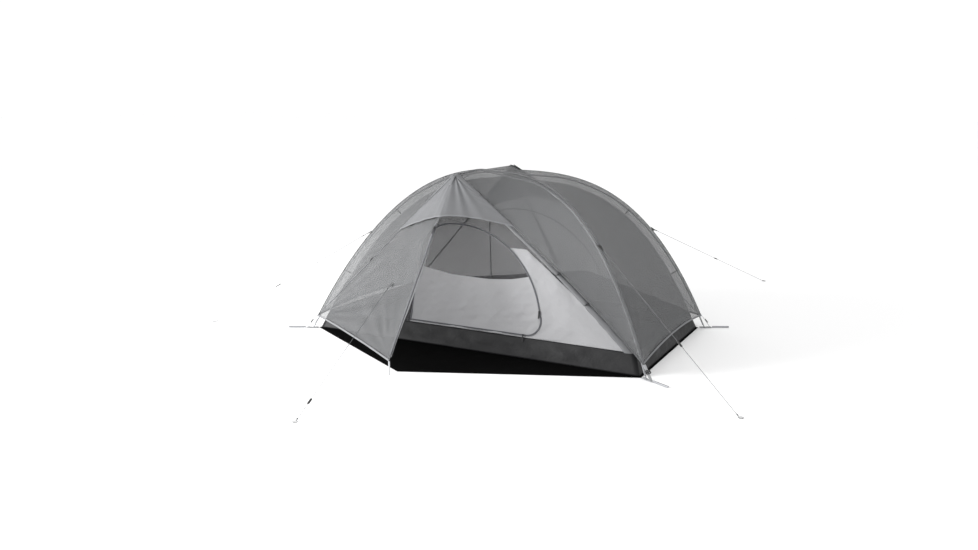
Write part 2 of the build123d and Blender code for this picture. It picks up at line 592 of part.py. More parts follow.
# ---- corner webbing, eyelets, buckles and pegs ------------------------------------------------------------------------
straps, eyelets, buckles, pegs = [], [], [], []
BUCKLE_SIZE = (22.0, 34.0, 5.0)
BUCKLE_SLOT = 4.0
STRAP_LENGTH = 76.0
STRAP_MIDDLE = 8.0           # middle of the ground strap beyond the pole foot
EYELET_WALL = 1.2
EYELET_CLEARANCE = 0.2
EYELET_RIM = 0.4             # the eyelet stands out of the strap by this much on each face
PEG_START = 50.0             # the peg's head from the pole foot
PEG_BLADE = 1.6
BUCKLE_OUT = 34.0            # where the fly's webbing meets the ground strap
POINT_LOOP = 10.0            # width of the loop under each vestibule point
for sx, sy in ((-1, -1), (-1, 1), (1, -1), (1, 1)):
    tip_end = foot(sx, sy)
    e = tip_end.normalized()
    frame = Plane(Vector(tip_end.X, tip_end.Y, FLOOR_Z), x_dir=e, z_dir=(0, 0, 1))
    outline = Pos(STRAP_MIDDLE, 0) * RectangleRounded(STRAP_LENGTH, STRAP_WIDTH, 6)
    straps.append(extrude(frame * (outline - Circle(EYELET_RADIUS)), STRAP_THICKNESS).solid())
    ring_radius = EYELET_RADIUS - EYELET_CLEARANCE
    ring = Circle(ring_radius) - Circle(ring_radius - EYELET_WALL)
    eyelets.append(extrude(frame.offset(-EYELET_RIM) * ring, STRAP_THICKNESS + 2 * EYELET_RIM).solid())
    start = Vector(tip_end.X, tip_end.Y, PEG_RADIUS + 0.1) + e * PEG_START
    blade = Rectangle(PEG_BLADE, PEG_RADIUS)
    star = Sketch() + [Rot(0, 0, 120 * k) * Pos(0, PEG_RADIUS / 2) * blade for k in range(3)]
    peg = extrude(Plane(start, x_dir=e.cross(Vector(0, 0, 1)), z_dir=e) * star, PEG_LENGTH)
    pegs.append(peg.solid())
    hem = outward(leg_point(sx, sy, HEM_HEIGHT), FLY_LIFT + FABRIC + 4)
    ground = Vector(tip_end.X, tip_end.Y, FLOOR_Z + STRAP_THICKNESS + 3) + e * BUCKLE_OUT
    down = (ground - hem).normalized()
    web_normal = down.cross(Vector(0, 0, 1)).cross(down)
    web_frame = Plane(lerp(hem, ground, 0.5), x_dir=down, z_dir=web_normal)
    web = web_frame * Rectangle((ground - hem).length, STRAP_WIDTH - 5)
    straps.append(extrude(web, STRAP_THICKNESS).solid())
    length, width, height = BUCKLE_SIZE
    slot = Rectangle(BUCKLE_SLOT, width - 2 * BUCKLE_SLOT)
    frame_sketch = RectangleRounded(length, width, 4) - Pos(5, 0) * slot - Pos(-5, 0) * slot
    buckles.append(extrude(web_frame.offset(STRAP_THICKNESS + 0.4) * frame_sketch, height).solid())
for sy in ENDS.values():
    hem = outward(zip_line(sy)(0), FLY_LIFT)
    drop = Plane(Vector(hem.X, hem.Y + sy * 1.0, 0.6), x_dir=(1, 0, 0), z_dir=(0, 0, 1))
    loop_strip = Rectangle(POINT_LOOP, STRAP_THICKNESS)
    straps.append(extrude(drop * loop_strip, hem.Z - 3).solid())
save("corner_webbing", *straps)
save("corner_eyelets", *eyelets)
save("corner_buckles", *buckles)
save("ground_pegs", *pegs)

if __name__ == "__main__":
    for end, (plane, length, station, lane, base) in fly_zip_facts.items():
        print("fly zip", end, plane.from_local_coords(Vector(station, lane, base + 4)), plane.x_dir, plane.y_dir,
              "length", round(length), "station", round(station))
    for name, facts in guyline_facts.items():
        print("guyline", name, *facts, "length", round((facts[1] - facts[0]).length))
    for name, facts in toggle_frames.items():
        print("toggle", name, *facts)
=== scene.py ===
# %% [markdown]
# # A pitched dome tent
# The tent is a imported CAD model: its poles, hub, clips, buckles, zip sliders and pegs are right as they are and only
# get finer materials. Everything made of cloth, tape or cord is soft, so each such CAD solid is replaced here by a
# sheet, a ribbon or a curve that lies where the solid lies. Lengths are metres, +X runs along the sleepers,
# -Y is the open front vestibule and +Z is up.

from math import acos, cos, pi, radians, sin, sqrt

import bmesh
import bpy
import numpy as np
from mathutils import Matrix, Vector


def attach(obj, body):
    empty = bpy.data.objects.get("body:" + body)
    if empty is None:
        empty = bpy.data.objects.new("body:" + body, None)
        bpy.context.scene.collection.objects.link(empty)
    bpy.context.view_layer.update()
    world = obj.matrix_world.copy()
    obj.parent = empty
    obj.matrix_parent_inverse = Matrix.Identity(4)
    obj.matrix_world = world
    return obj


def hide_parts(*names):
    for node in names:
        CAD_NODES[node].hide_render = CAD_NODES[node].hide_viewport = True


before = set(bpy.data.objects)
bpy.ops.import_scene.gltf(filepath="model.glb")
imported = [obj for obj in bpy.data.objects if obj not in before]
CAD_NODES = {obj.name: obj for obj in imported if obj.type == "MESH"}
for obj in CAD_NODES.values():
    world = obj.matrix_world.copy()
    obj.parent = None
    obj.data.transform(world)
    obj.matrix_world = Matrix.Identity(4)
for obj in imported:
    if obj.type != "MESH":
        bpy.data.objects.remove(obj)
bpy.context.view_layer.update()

# %% [markdown]
# ## Camera
# The tent is seen from the front right, a little above a standing person's waist. The camera looks slightly down,
# and its lens gives the mild perspective of a view from about five metres away.

# %% Camera
CAMERA_PLACE = (2.443, -4.8396, 1.4723)
CAMERA_TURN, CAMERA_DIP = radians(28.15), radians(11.707)    # to the left of +Y, and down
SENSOR_MM, LENS_MM = 36.0, 31.73


def add_object(name, data):
    """Every new object is made here: at the origin, and linked to the scene."""
    made = bpy.data.objects.new(name, data)
    bpy.context.scene.collection.objects.link(made)
    return made


camera_data = bpy.data.cameras.new("product_camera")
camera_data.sensor_width, camera_data.lens = SENSOR_MM, LENS_MM
camera = add_object("product_camera", camera_data)
camera.location = CAMERA_PLACE
look = Vector((-sin(CAMERA_TURN) * cos(CAMERA_DIP), cos(CAMERA_TURN) * cos(CAMERA_DIP), -sin(CAMERA_DIP)))
camera.rotation_euler = look.to_track_quat("-Z", "Y").to_euler()
bpy.context.scene.camera = camera
bpy.context.scene.view_settings.view_transform = "Standard"
bpy.context.scene.cycles.transparent_max_bounces = 40    # light passes many thin layers of cloth
print("camera at", tuple(camera.location))

# %% [markdown]
# ## The curves that everything hangs on
# A tent is drawn from a few curves: the arched legs of the poles, the seams that run from the corners up to the two
# ends of the short brow pole, and the closing line of each vestibule. They are written once, and every panel, seam
# tape, hem and zip follows them.

# %% Curves of the tent
FLOOR_LENGTH, FLOOR_WIDTH = 2.15, 1.15
HUB_X, HUB_HEIGHT = -0.170, 1.006
BROW_HALF = 0.374
HEM_HEIGHT, HEM_ARCH = 0.080, 0.040
SEAM_BULGE = 0.042
TIP = (-0.124, 1.168)                # vestibule point in plan, its Y for the rear
CORE = np.array((HUB_X / 2, 0.0, 0.15))
FLY_DEPTH = 0.0115                   # middle of the fly outside the pole axis
HOOD_DEPTH = 0.0175
CANOPY_DROP = 0.045
TUB_HEIGHT, TUB_LEAN = 0.115, 0.042
CANOPY_START = TUB_HEIGHT + 0.0005
TUB_TOP = np.array((FLOOR_LENGTH / 2 - TUB_LEAN, FLOOR_WIDTH / 2 - TUB_LEAN))
ENDS = {"front": -1, "rear": 1}
SIDES = {"left": -1, "right": 1}


def unit(v):
    return v / np.linalg.norm(v, axis=-1, keepdims=True)


def outward(points, distance):
    """Move points straight away from the tent's core."""
    return points + unit(points - CORE) * distance


def lerp(a, b, t):
    return a + (b - a) * t


def foot(sx, sy):
    return np.array((sx * (FLOOR_LENGTH / 2 + 0.045), sy * (FLOOR_WIDTH / 2 + 0.024), 0.0))


def leg_point(sx, sy, height):
    """Pole axis at a height: its profile is a superellipse, squarer on the right."""
    reach = max(0.0, 1 - height / HUB_HEIGHT) ** (1 / (3.3 if sx > 0 else 2.16))
    point = lerp(np.array((HUB_X, 0.0, 0.0)), foot(sx, sy), reach)
    return point + np.array((0, 0, height))


def leg(sx, sy, start=HEM_HEIGHT):
    first = acos(sqrt(start / HUB_HEIGHT))
    return lambda t: leg_point(sx, sy, HUB_HEIGHT * cos(first * (1 - t)) ** 2)


def peak(sy):
    return np.array((HUB_X, sy * (BROW_HALF + 0.006), HUB_HEIGHT))


def seam(sx, sy):
    bow = np.array((0.75, sy * 0.2, 0.6)) * (SEAM_BULGE if sx > 0 else 0.0)
    return lambda t: lerp(leg_point(sx, sy, HEM_HEIGHT), peak(sy), t) + bow * (4 * t * (1 - t))


def zip_line(sy):
    tip = np.array((TIP[0], sy * TIP[1], HEM_HEIGHT))
    return lambda t: lerp(tip, peak(sy), t)


def inner_leg(sx, sy):
    """Edge of the inner tent under a pole, from the corner of the tub up to the hub."""
    under = leg(sx, sy, CANOPY_START)
    corner = np.array((sx * TUB_TOP[0], sy * TUB_TOP[1], CANOPY_START))
    shift = corner - outward(under(0), -CANOPY_DROP)
    return lambda t: outward(under(t), -CANOPY_DROP) + shift * (1 - t) ** 3


INNER_PEAK_Y, INNER_PEAK_Z = BROW_HALF - 0.020, HUB_HEIGHT - CANOPY_DROP


def inner_seam(sx, sy):
    corner = np.array((sx * TUB_TOP[0], sy * TUB_TOP[1], CANOPY_START))
    top = np.array((HUB_X, sy * INNER_PEAK_Y, INNER_PEAK_Z))
    return lambda t: lerp(corner, top, t)


def sample(curve, start=0.0, end=1.0, count=60):
    return np.array([curve(t) for t in np.linspace(start, end, count)])


print("hub", leg_point(1, 1, HUB_HEIGHT), "front peak", peak(-1))

# %% [markdown]
# ## Finishes
# Each finish is a small node tree. One function adds a node, sets its values and links it, so that a tree reads from
# top to bottom. Colours are written as sRGB hex, the way a dyer's card would give them, and made linear once.


# %% Helpers for materials
def linear(hex_colour):
    """sRGB hex to linear RGBA."""
    parts = [int(hex_colour[i:i + 2], 16) / 255 for i in (1, 3, 5)]
    return [p / 12.92 if p < 0.04045 else ((p + 0.055) / 1.055) ** 2.4 for p in parts] + [1.0]


def add(tree, kind, inputs=None, **settings):
    """Add a node: settings are its properties, inputs are values or sockets to link."""
    node = tree.nodes.new(kind)
    for name, value in settings.items():
        setattr(node, name, value)
    for name, value in (inputs or {}).items():
        if isinstance(value, bpy.types.NodeSocket):
            tree.links.new(value, node.inputs[name])
        else:
            node.inputs[name].default_value = value
    return node


def new_material(name):
    material = bpy.data.materials.new(name)
    material.use_nodes = True
    material.node_tree.nodes.clear()
    return material, material.node_tree


def tinted(tree, factor, dark, light):
    """Colour between two hex shades by a factor."""
    return add(tree, "ShaderNodeMix", {"Factor": factor, 6: linear(dark), 7: linear(light)},
            data_type="RGBA").outputs[2]


# %% [markdown]
# ### Woven cloths
# The fly is thin silicone-coated ripstop nylon: smooth, slightly glossy, and it lets some light and a faint image
# through. The inner tent is uncoated nylon, brighter and matt. Ripstop has thicker threads in a grid about 5 mm wide,
# which shows close up as a raised check; the single threads, 0.1 mm apart, are too fine to show and are left to
# the roughness. Creases 15 to 40 mm long come from how the tent was packed.


# %% Cloth finishes
CREASES_PER_METRE, SHADES_PER_METRE = 26.0, 4.0
CREASE_RISE, THREAD_RISE = 0.004, 0.0003    # metres of relief
THREAD_SHARE = 1 / 14                       # thick thread as a share of the grid


def woven_cloth(name, dark, light, grid_mm, roughness, translucent=0.0, alpha=1.0, crease=0.35, specular=0.5):
    material, tree = new_material(name)
    uv = add(tree, "ShaderNodeUVMap", uv_map="metres").outputs["UV"]
    position = add(tree, "ShaderNodeTexCoord").outputs["Object"]
    packing = add(tree, "ShaderNodeTexNoise", {"Vector": position, "Scale": CREASES_PER_METRE, "Detail": 3.0,
            "Distortion": 0.8})
    shade = add(tree, "ShaderNodeTexNoise", {"Vector": position, "Scale": SHADES_PER_METRE, "Detail": 4.0})
    check = add(tree, "ShaderNodeTexBrick", {"Vector": uv, "Scale": 1.0, "Mortar Size": grid_mm * THREAD_SHARE / 1000,
            "Mortar Smooth": 0.6, "Brick Width": grid_mm / 1000,
            "Row Height": grid_mm / 1000}, offset=0.0)
    mottled = tinted(tree, shade.outputs["Fac"], dark, light)
    threads = add(tree, "ShaderNodeMix", {"Factor": check.outputs["Fac"], 6: mottled, 7: linear(dark)},
            data_type="RGBA").outputs[2]
    folds = add(tree, "ShaderNodeBump", {"Height": packing.outputs["Fac"], "Strength": crease, "Distance": CREASE_RISE})
    raised = add(tree, "ShaderNodeBump", {"Height": check.outputs["Fac"], "Strength": 0.25, "Distance": THREAD_RISE,
            "Normal": folds.outputs["Normal"]})
    cloth = add(tree, "ShaderNodeBsdfPrincipled", {"Base Color": threads, "Roughness": roughness, "Alpha": alpha,
            "Specular IOR Level": specular, "Normal": raised.outputs["Normal"]})
    surface = cloth.outputs[0]
    if translucent:
        glow = add(tree, "ShaderNodeBsdfTranslucent", {"Color": threads, "Normal": raised.outputs["Normal"]})
        surface = add(tree, "ShaderNodeMixShader", {"Fac": translucent, 1: surface, 2: glow.outputs[0]}).outputs[0]
    add(tree, "ShaderNodeOutputMaterial", {"Surface": surface})
    return material


FLY = woven_cloth("silicone_coated_ripstop_nylon", "#727374", "#7d7e80", 5, 0.50, translucent=0.10, alpha=0.36,
        crease=0.30)
FLY_TWO_LAYER = woven_cloth("silicone_nylon_doubled", "#6f7072", "#7b7c7e", 5, 0.50, translucent=0.12, alpha=0.80,
        crease=0.30)
INNER = woven_cloth("uncoated_nylon_ripstop", "#9a9a9c", "#adadaf", 5, 0.80, translucent=0.20, crease=0.6)
TUB = woven_cloth("coated_floor_taffeta", "#131314", "#1d1d1f", 3, 0.55, crease=0.5, specular=0.25)
GROUND = woven_cloth("footprint_polyester_coated", "#010101", "#020202", 3, 0.95, crease=0.2, specular=0.05)
NETTING = woven_cloth("polyester_netting", "#505052", "#58585a", 2, 0.80, alpha=0.30, crease=0.1)
print("cloth finishes ready")

# %% [markdown]
# ### Tapes, cords, plastics and metals
# Webbing and zip tape are woven narrow and show ribs across their width. Guy cord is braided round a core. The
# fittings are injection-moulded acetal with a fine spark-eroded texture, and the poles are drawn, anodised
# aluminium tube: a soft, grey, satin metal with very fine lines along its length.


# %% Hard and narrow finishes
def ribbed_tape(name, dark, light, rib_mm, roughness):
    material, tree = new_material(name)
    uv = add(tree, "ShaderNodeUVMap", uv_map="metres").outputs["UV"]
    ribs = add(tree, "ShaderNodeTexWave", {"Vector": uv, "Scale": 1000 / rib_mm / 6.28, "Distortion": 0.2},
            bands_direction="Y")
    wear = add(tree, "ShaderNodeTexNoise", {"Vector": uv, "Scale": 60.0, "Detail": 3.0})
    colour = tinted(tree, wear.outputs["Fac"], dark, light)
    bump = add(tree, "ShaderNodeBump", {"Height": ribs.outputs["Fac"], "Strength": 0.5, "Distance": 0.0004})
    cloth = add(tree, "ShaderNodeBsdfPrincipled", {"Base Color": colour, "Roughness": roughness,
            "Normal": bump.outputs["Normal"]})
    add(tree, "ShaderNodeOutputMaterial", {"Surface": cloth.outputs[0]})
    return material


def solid_finish(name, dark, light, grain_mm, roughness, metallic=0.0, stretch=(1, 1, 1), height_mm=0.05, coat=0.0):
    """A hard or braided finish on Object coordinates, with grain of a real size."""
    material, tree = new_material(name)
    position = add(tree, "ShaderNodeTexCoord").outputs["Object"]
    placed = add(tree, "ShaderNodeMapping", {"Vector": position, "Scale": stretch}).outputs["Vector"]
    grain = add(tree, "ShaderNodeTexNoise", {"Vector": placed, "Scale": 1000 / grain_mm, "Detail": 2.0})
    patch = add(tree, "ShaderNodeTexNoise", {"Vector": position, "Scale": 30.0, "Detail": 3.0})
    colour = tinted(tree, patch.outputs["Fac"], dark, light)
    rough = add(tree, "ShaderNodeMapRange", {"Value": grain.outputs["Fac"], "To Min": roughness - 0.08,
            "To Max": roughness + 0.08}).outputs["Result"]
    bump = add(tree, "ShaderNodeBump", {"Height": grain.outputs["Fac"], "Strength": 0.4,
            "Distance": height_mm / 1000})
    shader = add(tree, "ShaderNodeBsdfPrincipled", {"Base Color": colour, "Roughness": rough, "Metallic": metallic,
            "Coat Weight": coat, "Normal": bump.outputs["Normal"]})
    add(tree, "ShaderNodeOutputMaterial", {"Surface": shader.outputs[0]})
    return material


BINDING = ribbed_tape("grosgrain_binding", "#6a6b6d", "#7a7b7d", 1.2, 0.75)
DARK_BINDING = ribbed_tape("black_grosgrain_binding", "#161617", "#222223", 1.2, 0.75)
WEBBING = ribbed_tape("polyester_webbing", "#98999b", "#adaeb0", 1.5, 0.70)
ZIP_TAPE = ribbed_tape("woven_zip_tape", "#55565a", "#65666a", 0.8, 0.70)
COIL = solid_finish("nylon_zip_coil", "#3b3c3f", "#4b4c4f", 1.0, 0.45)
CORD = solid_finish("braided_guy_cord", "#48494b", "#5c5d5f", 0.8, 0.60, height_mm=0.2)
ELASTIC = solid_finish("braided_elastic", "#1b1b1c", "#29292a", 0.8, 0.70, height_mm=0.2)
THREAD = solid_finish("bonded_nylon_thread", "#5d5e60", "#6c6d6f", 0.4, 0.60)
ACETAL = solid_finish("moulded_acetal", "#131314", "#1c1c1d", 0.6, 0.42, height_mm=0.03)
POLE = solid_finish("anodised_pole_alloy", "#9c9da0", "#adaeb1", 0.5, 0.32, metallic=1.0, stretch=(1, 1, 0.1))
HUB = solid_finish("anodised_forged_alloy", "#828387", "#939498", 0.8, 0.36, metallic=1.0)
ZIP_METAL = solid_finish("lacquered_zip_alloy", "#1a1a1b", "#2a2a2b", 0.5, 0.35, metallic=0.6, coat=0.3)
print("hard finishes ready")

# %% Finishes of the CAD nodes that stay
STAYS = {
    "pole_hub": HUB, "pole_ferrules": POLE, "brow_pole": POLE, "pole_tips": HUB, "pole_clips": ACETAL,
    "corner_eyelets": HUB, "corner_buckles": ACETAL, "ground_pegs": POLE, "shock_cords": ELASTIC,
    "guyline_end_loops": CORD,
}
for node, part in CAD_NODES.items():
    finish = STAYS.get(node)
    if node.startswith("pole_") and finish is None:
        finish = POLE
    elif node.startswith(("line_tensioner", "roll_toggle")):
        finish = ACETAL
    elif node.endswith(("_slider", "_pull")):
        finish = ZIP_METAL
    if finish is not None:
        for material_slot in part.material_slots:
            material_slot.material = finish
print("finished CAD nodes")

# %% [markdown]
# ## Guylines
# Four braided cords, 2.5 mm thick, hold the tent against wind. Each leaves a webbing tab on the fly and runs taut to
# a small loop on the ground, so it is a NURBS curve through three kinds of points: the tab, one point close to each
# end where the cord bends into its knot, and the loop. They come before the cloth, because a cord is checked against
# the camera's view.


# %% Cords
def curve_object(name, points, radius, material, cyclic=False, order=3):
    """A NURBS curve with a round bevel."""
    data = bpy.data.curves.new(name, "CURVE")
    data.dimensions = "3D"
    data.bevel_depth = radius
    data.bevel_resolution = 3
    data.use_fill_caps = True
    spline = data.splines.new("NURBS")
    spline.points.add(len(points) - 1)
    for point, place in zip(spline.points, points):
        point.co = (*[float(v) for v in place], 1.0)
    spline.order_u = order
    spline.use_endpoint_u = not cyclic
    spline.use_cyclic_u = cyclic
    spline.resolution_u = 8
    data.materials.append(material)
    return add_object(name, data)


def settle(piece, slot_name, *nodes):
    """Every soft piece rides on the tent and may stand for CAD nodes, which are hidden; the slot name is not used."""
    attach(piece, "tent")
    if nodes:
        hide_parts(*nodes)
    return piece


GUYLINES = {
    "left": ((-0.829389, -0.406556, 0.605632), (-1.784730, -0.795998, 0.002150), 1.195),
    "front": ((-0.376834, -0.809490, 0.385384), (-0.123907, -1.934070, 0.002150), 1.215),
    "right": ((0.806753, -0.456502, 0.648029), (1.672310, -0.917769, 0.002150), 1.174),
    "rear": ((0.802091, 0.490328, 0.632577), (1.176250, 2.256040, 0.002150), 1.912),
}
CORD_RADIUS, KNOT_BEND = 0.00125, 0.015
for name, (start, end, length) in GUYLINES.items():
    start, end = np.array(start), np.array(end)
    along = unit(end - start)
    route = [start, start + along * KNOT_BEND, end - along * KNOT_BEND, end]
    line = curve_object(f"guyline_cord_{name}", route, CORD_RADIUS, CORD)
    settle(line, "cord", f"guyline_{name}")
    print("guyline", name, "length", length)

# %% [markdown]
# ## How a panel of cloth is made
# A panel is a grid of points between two edge curves, fine enough to carry folds. Three things shape it: it sags a
# little between its edges, because cloth under tension takes a saddle form; folds radiate from the corners that are
# pulled; and the sewn edges pucker. The edges themselves never move, so neighbours still meet. A UV map in metres
# lets the weave follow the cloth.


# %% Grids and meshes
def grid(edge_a, edge_b, across, up, arch=0.0, start=0.0, end=1.0):
    """Points between two edges, as an array of rows; the lowest row rises in its middle."""
    u = np.linspace(0, 1, across + 1)[None, :, None]
    t = np.linspace(start, end, up + 1)
    a = np.array([edge_a(v) for v in t])[:, None, :]
    b = np.array([edge_b(v) for v in t])[:, None, :]
    points = lerp(a, b, u)
    rise = arch * (1 - (t - start) / (end - start)) ** 3
    points[:, :, 2] += rise[:, None] * (4 * u * (1 - u))[:, :, 0]
    return points


def shares(points):
    """Share across and up of every grid point, 0 to 1."""
    up, across = points.shape[0], points.shape[1]
    u = np.broadcast_to(np.linspace(0, 1, across)[None, :], (up, across))
    t = np.broadcast_to(np.linspace(0, 1, up)[:, None], (up, across))
    return u, t


def measured(points):
    """Distance in metres along the rows and along the columns, for the UV map."""
    across = np.cumsum(np.pad(np.linalg.norm(np.diff(points, axis=1), axis=2), ((0, 0), (1, 0))), axis=1)
    up = np.cumsum(np.pad(np.linalg.norm(np.diff(points, axis=0), axis=2), ((1, 0), (0, 0))), axis=0)
    return across - across[:, -1:] / 2, up


def sheet_mesh(name, points, materials, thickness=0.0008, face_material=None, away_from=CORE):
    """Mesh a grid, turn its faces away from a point, and give it a wall."""
    rows, columns = points.shape[:2]
    across, up = measured(points)
    index = np.arange(rows * columns).reshape(rows, columns)
    quads = np.stack([index[:-1, :-1], index[:-1, 1:], index[1:, 1:], index[1:, :-1]], axis=-1)
    cross = np.cross(points[:-1, 1:] - points[:-1, :-1], points[1:, :-1] - points[:-1, :-1])
    facing = (cross * (points[:-1, :-1] - away_from)).sum()
    if facing < 0:
        quads = quads[:, :, ::-1]
    mesh = bpy.data.meshes.new(name)
    mesh.from_pydata(points.reshape(-1, 3).tolist(), [], quads.reshape(-1, 4).tolist())
    for material in materials:
        mesh.materials.append(material)
    uv = mesh.uv_layers.new(name="metres")
    corner = quads.reshape(-1)
    uv.data.foreach_set("uv", np.stack([across.reshape(-1)[corner], up.reshape(-1)[corner]], axis=-1).reshape(-1))
    if face_material is not None:
        mesh.polygons.foreach_set("material_index", face_material.reshape(-1).astype(np.int32))
    mesh.polygons.foreach_set("use_smooth", np.ones(len(mesh.polygons), dtype=bool))
    close = bmesh.new()
    close.from_mesh(mesh)
    bmesh.ops.remove_doubles(close, verts=close.verts, dist=2e-5)
    bmesh.ops.dissolve_degenerate(close, edges=close.edges, dist=1e-6)
    close.to_mesh(mesh)
    close.free()
    piece = add_object(name, mesh)
    if thickness:
        wall = piece.modifiers.new("wall", "SOLIDIFY")
        wall.thickness = thickness
        wall.offset = 0.0
    return piece


def flat_size(points):
    """Width, length and area that a panel is cut to, read from its grid."""
    width = np.linalg.norm(np.diff(points, axis=1), axis=2).sum(axis=1).max()
    length = np.linalg.norm(np.diff(points, axis=0), axis=2).sum(axis=0).max()
    cross = np.cross(points[:-1, 1:] - points[:-1, :-1], points[1:, :-1] - points[:-1, :-1])
    other = np.cross(points[1:, :-1] - points[1:, 1:], points[:-1, 1:] - points[1:, 1:])
    area = (np.linalg.norm(cross, axis=2).sum() + np.linalg.norm(other, axis=2).sum()) / 2
    return float(width), float(length), float(area)


def declare(piece, points, held, rests_on, **extra):
    """Print the flat width, length and area of a sheet, read from its own grid."""
    width, length, area = flat_size(points)
    if area < 0.3 * width * length:
        length = area / (0.5 * width)
    area = min(area, width * length)
    print(f"{piece.name}: flat {width:.3f} x {length:.3f} m, {area:.3f} m2")


# %% [markdown]
# ### Folds
# Noise is a sum of a few sine waves with seeded directions, which is smooth, repeatable and quick. Tension folds use
# the angle round the pulled corner: they start at nothing in the corner, grow, and die out along the panel.


# %% Fold functions
def waves(points, length, height, seed, stretch=(1, 1, 1), count=9):
    """Smooth noise of about one wavelength."""
    random = np.random.default_rng(seed)
    total = np.zeros(points.shape[:-1])
    for _ in range(count):
        direction = random.normal(size=3) * np.array(stretch)
        direction /= np.linalg.norm(direction)
        total += np.sin(points @ direction * (2 * pi / (length * random.uniform(0.7, 1.5))) + random.uniform(0, 6.28))
    return height * total / sqrt(count)


def pull_folds(points, anchor, reach, height, folds, seed):
    """Folds that radiate from a pulled corner."""
    random = np.random.default_rng(seed)
    middle = points.reshape(-1, 3).mean(axis=0)
    ahead = (middle - anchor) / np.linalg.norm(middle - anchor)
    normal = np.cross(points[0, -1] - points[0, 0], points[-1, 0] - points[0, 0])
    aside = np.cross(normal / (np.linalg.norm(normal) + 1e-9), ahead)
    offset = points - anchor
    distance = np.linalg.norm(offset, axis=-1)
    angle = np.arctan2(offset @ aside, offset @ ahead + 1e-6)
    total = np.zeros(points.shape[:-1])
    for k in range(4):
        total += np.sin(angle * folds * random.uniform(0.7, 1.4) + random.uniform(0, 6.28)) / (1 + 0.5 * k)
    strength = distance / reach * np.exp(1 - distance / reach)
    return height * total * strength


def shaped(points, sag=0.0, folds=(), wave=0.0025, wave_length=0.22, pucker=0.0012, seed=1, hold_hem=False):
    """A panel's grid with its sag, folds, waves and puckered seams."""
    u, t = shares(points)
    width = np.linalg.norm(np.diff(points, axis=1), axis=2).sum(axis=1)[:, None]
    edge = np.minimum(u, 1 - u) * width
    hold = np.clip(edge / 0.035, 0, 1) * np.clip((1 - t) / 0.04, 0, 1)
    if hold_hem:
        hold = hold * np.clip(t / 0.04, 0, 1)
    hold = hold * hold * (3 - 2 * hold)
    move = -sag * 4 * u * (1 - u) * (0.35 + 0.65 * np.sin(pi * np.clip(t, 0, 1)))
    move = move + waves(points, wave_length, wave, seed) + waves(points, 0.07, wave * 0.22, seed + 1)
    for anchor, reach, height, count in folds:
        move = move + pull_folds(points, anchor, reach, height, count, seed + 2)
    up = measured(points)[1]
    ripple = np.sin(up / 0.011 + 2.2 * np.sin(up / 0.047 + seed)) * np.exp(-((edge - 0.012) / 0.03) ** 2)
    move = move * hold + pucker * ripple * np.clip(edge / 0.006, 0, 1)
    return outward(points, move[..., None])


print("cloth helpers ready")

# %% [markdown]
# ## Ground cloths
# The footprint is a black six-cornered sheet under the whole tent, pegged at the corners and the two vestibule
# points, so it lies nearly flat and only ripples a little. The inner tent's floor is a bathtub: the cloth turns up
# at the sides to keep water out, and its turned-up corners are folded and stitched.

# %% Footprint
GROUND_X, GROUND_Y, GROUND_POINT = FLOOR_LENGTH / 2 + 0.010, FLOOR_WIDTH / 2 + 0.005, 1.105


def ground_edge(sy):
    corners = np.array([(-GROUND_X, sy * GROUND_Y), (TIP[0], sy * GROUND_POINT), (GROUND_X, sy * GROUND_Y)])
    return lambda x: float(np.interp(x, corners[:, 0], corners[:, 1]))


columns = np.sort(np.append(np.linspace(-GROUND_X, GROUND_X, 140), TIP[0]))
spread = np.linspace(0, 1, 110)
points = np.zeros((len(spread), len(columns), 3))
for i, x in enumerate(columns):
    points[:, i, 0] = x
    points[:, i, 1] = lerp(ground_edge(-1)(x), ground_edge(1)(x), spread)
points[:, :, 2] = 0.0012 + np.clip(waves(points, 0.16, 0.0004, 5), -0.0007, 0.0007)
footprint = sheet_mesh("footprint_sheet", points, [GROUND], thickness=0.0006, away_from=np.array((0, 0, -5.0)))
settle(footprint, "groundsheet", "footprint")
declare(footprint, points, "laid", [])


# %% [markdown]
# The tub is one grid as well: walking outwards from the middle of the floor, the points first run level, then climb
# the leaning wall. A square ring of points is scaled from the middle to the rim, which keeps the corners sharp.

# %% Bathtub floor
def tub_ring(count):
    """Corner-true walk round a unit square, as (x, y) from -1 to 1."""
    side = np.linspace(-1, 1, count, endpoint=False)
    one = np.ones(count)
    return np.concatenate([np.stack([side, -one], 1), np.stack([one, side], 1),
            np.stack([-side, one], 1), np.stack([-one, -side], 1)])


ring = tub_ring(70)
ring = np.vstack([ring, ring[:1]])
steps = np.concatenate([np.linspace(0.0, 1.0, 45), np.linspace(0.0, 1.0, 15)[1:] + 1])
tub = np.zeros((len(steps), len(ring), 3))
FLOOR_TOP = 0.0042
for j, step in enumerate(steps):
    climb = max(0.0, step - 1)
    half = np.array((FLOOR_LENGTH / 2 - 0.0015, FLOOR_WIDTH / 2 - 0.0015)) * min(step, 1.0) - climb * TUB_LEAN
    tub[j, :, :2] = ring * half
    tub[j, :, 2] = FLOOR_TOP + climb * (TUB_HEIGHT - FLOOR_TOP)
wall = np.clip(steps - 1, 0, 1)[:, None]
corner_pull = np.clip(1 - np.abs(np.abs(ring[:, 0]) - np.abs(ring[:, 1])) * 4, 0, 1)[None, :]
slack = waves(tub, 0.16, 0.0045, 21) + waves(tub, 0.05, 0.0012, 22)
creases = 0.004 * np.sin(tub[:, :, 0] * 38 + tub[:, :, 2] * 60) * np.sin(tub[:, :, 0] * 9 + 2)
lean = np.stack([ring[:, 0] * (np.abs(ring[:, 0]) > 0.99), ring[:, 1] * (np.abs(ring[:, 1]) > 0.99)], 1)
tub[:, :, :2] += (slack + creases)[..., None] * (np.sin(wall * pi) * (1 - corner_pull))[..., None] * lean * 0.8
tub[:, :, 2] += np.clip(waves(tub, 0.3, 0.0006, 23), 0, 0.001) * (1 - wall)
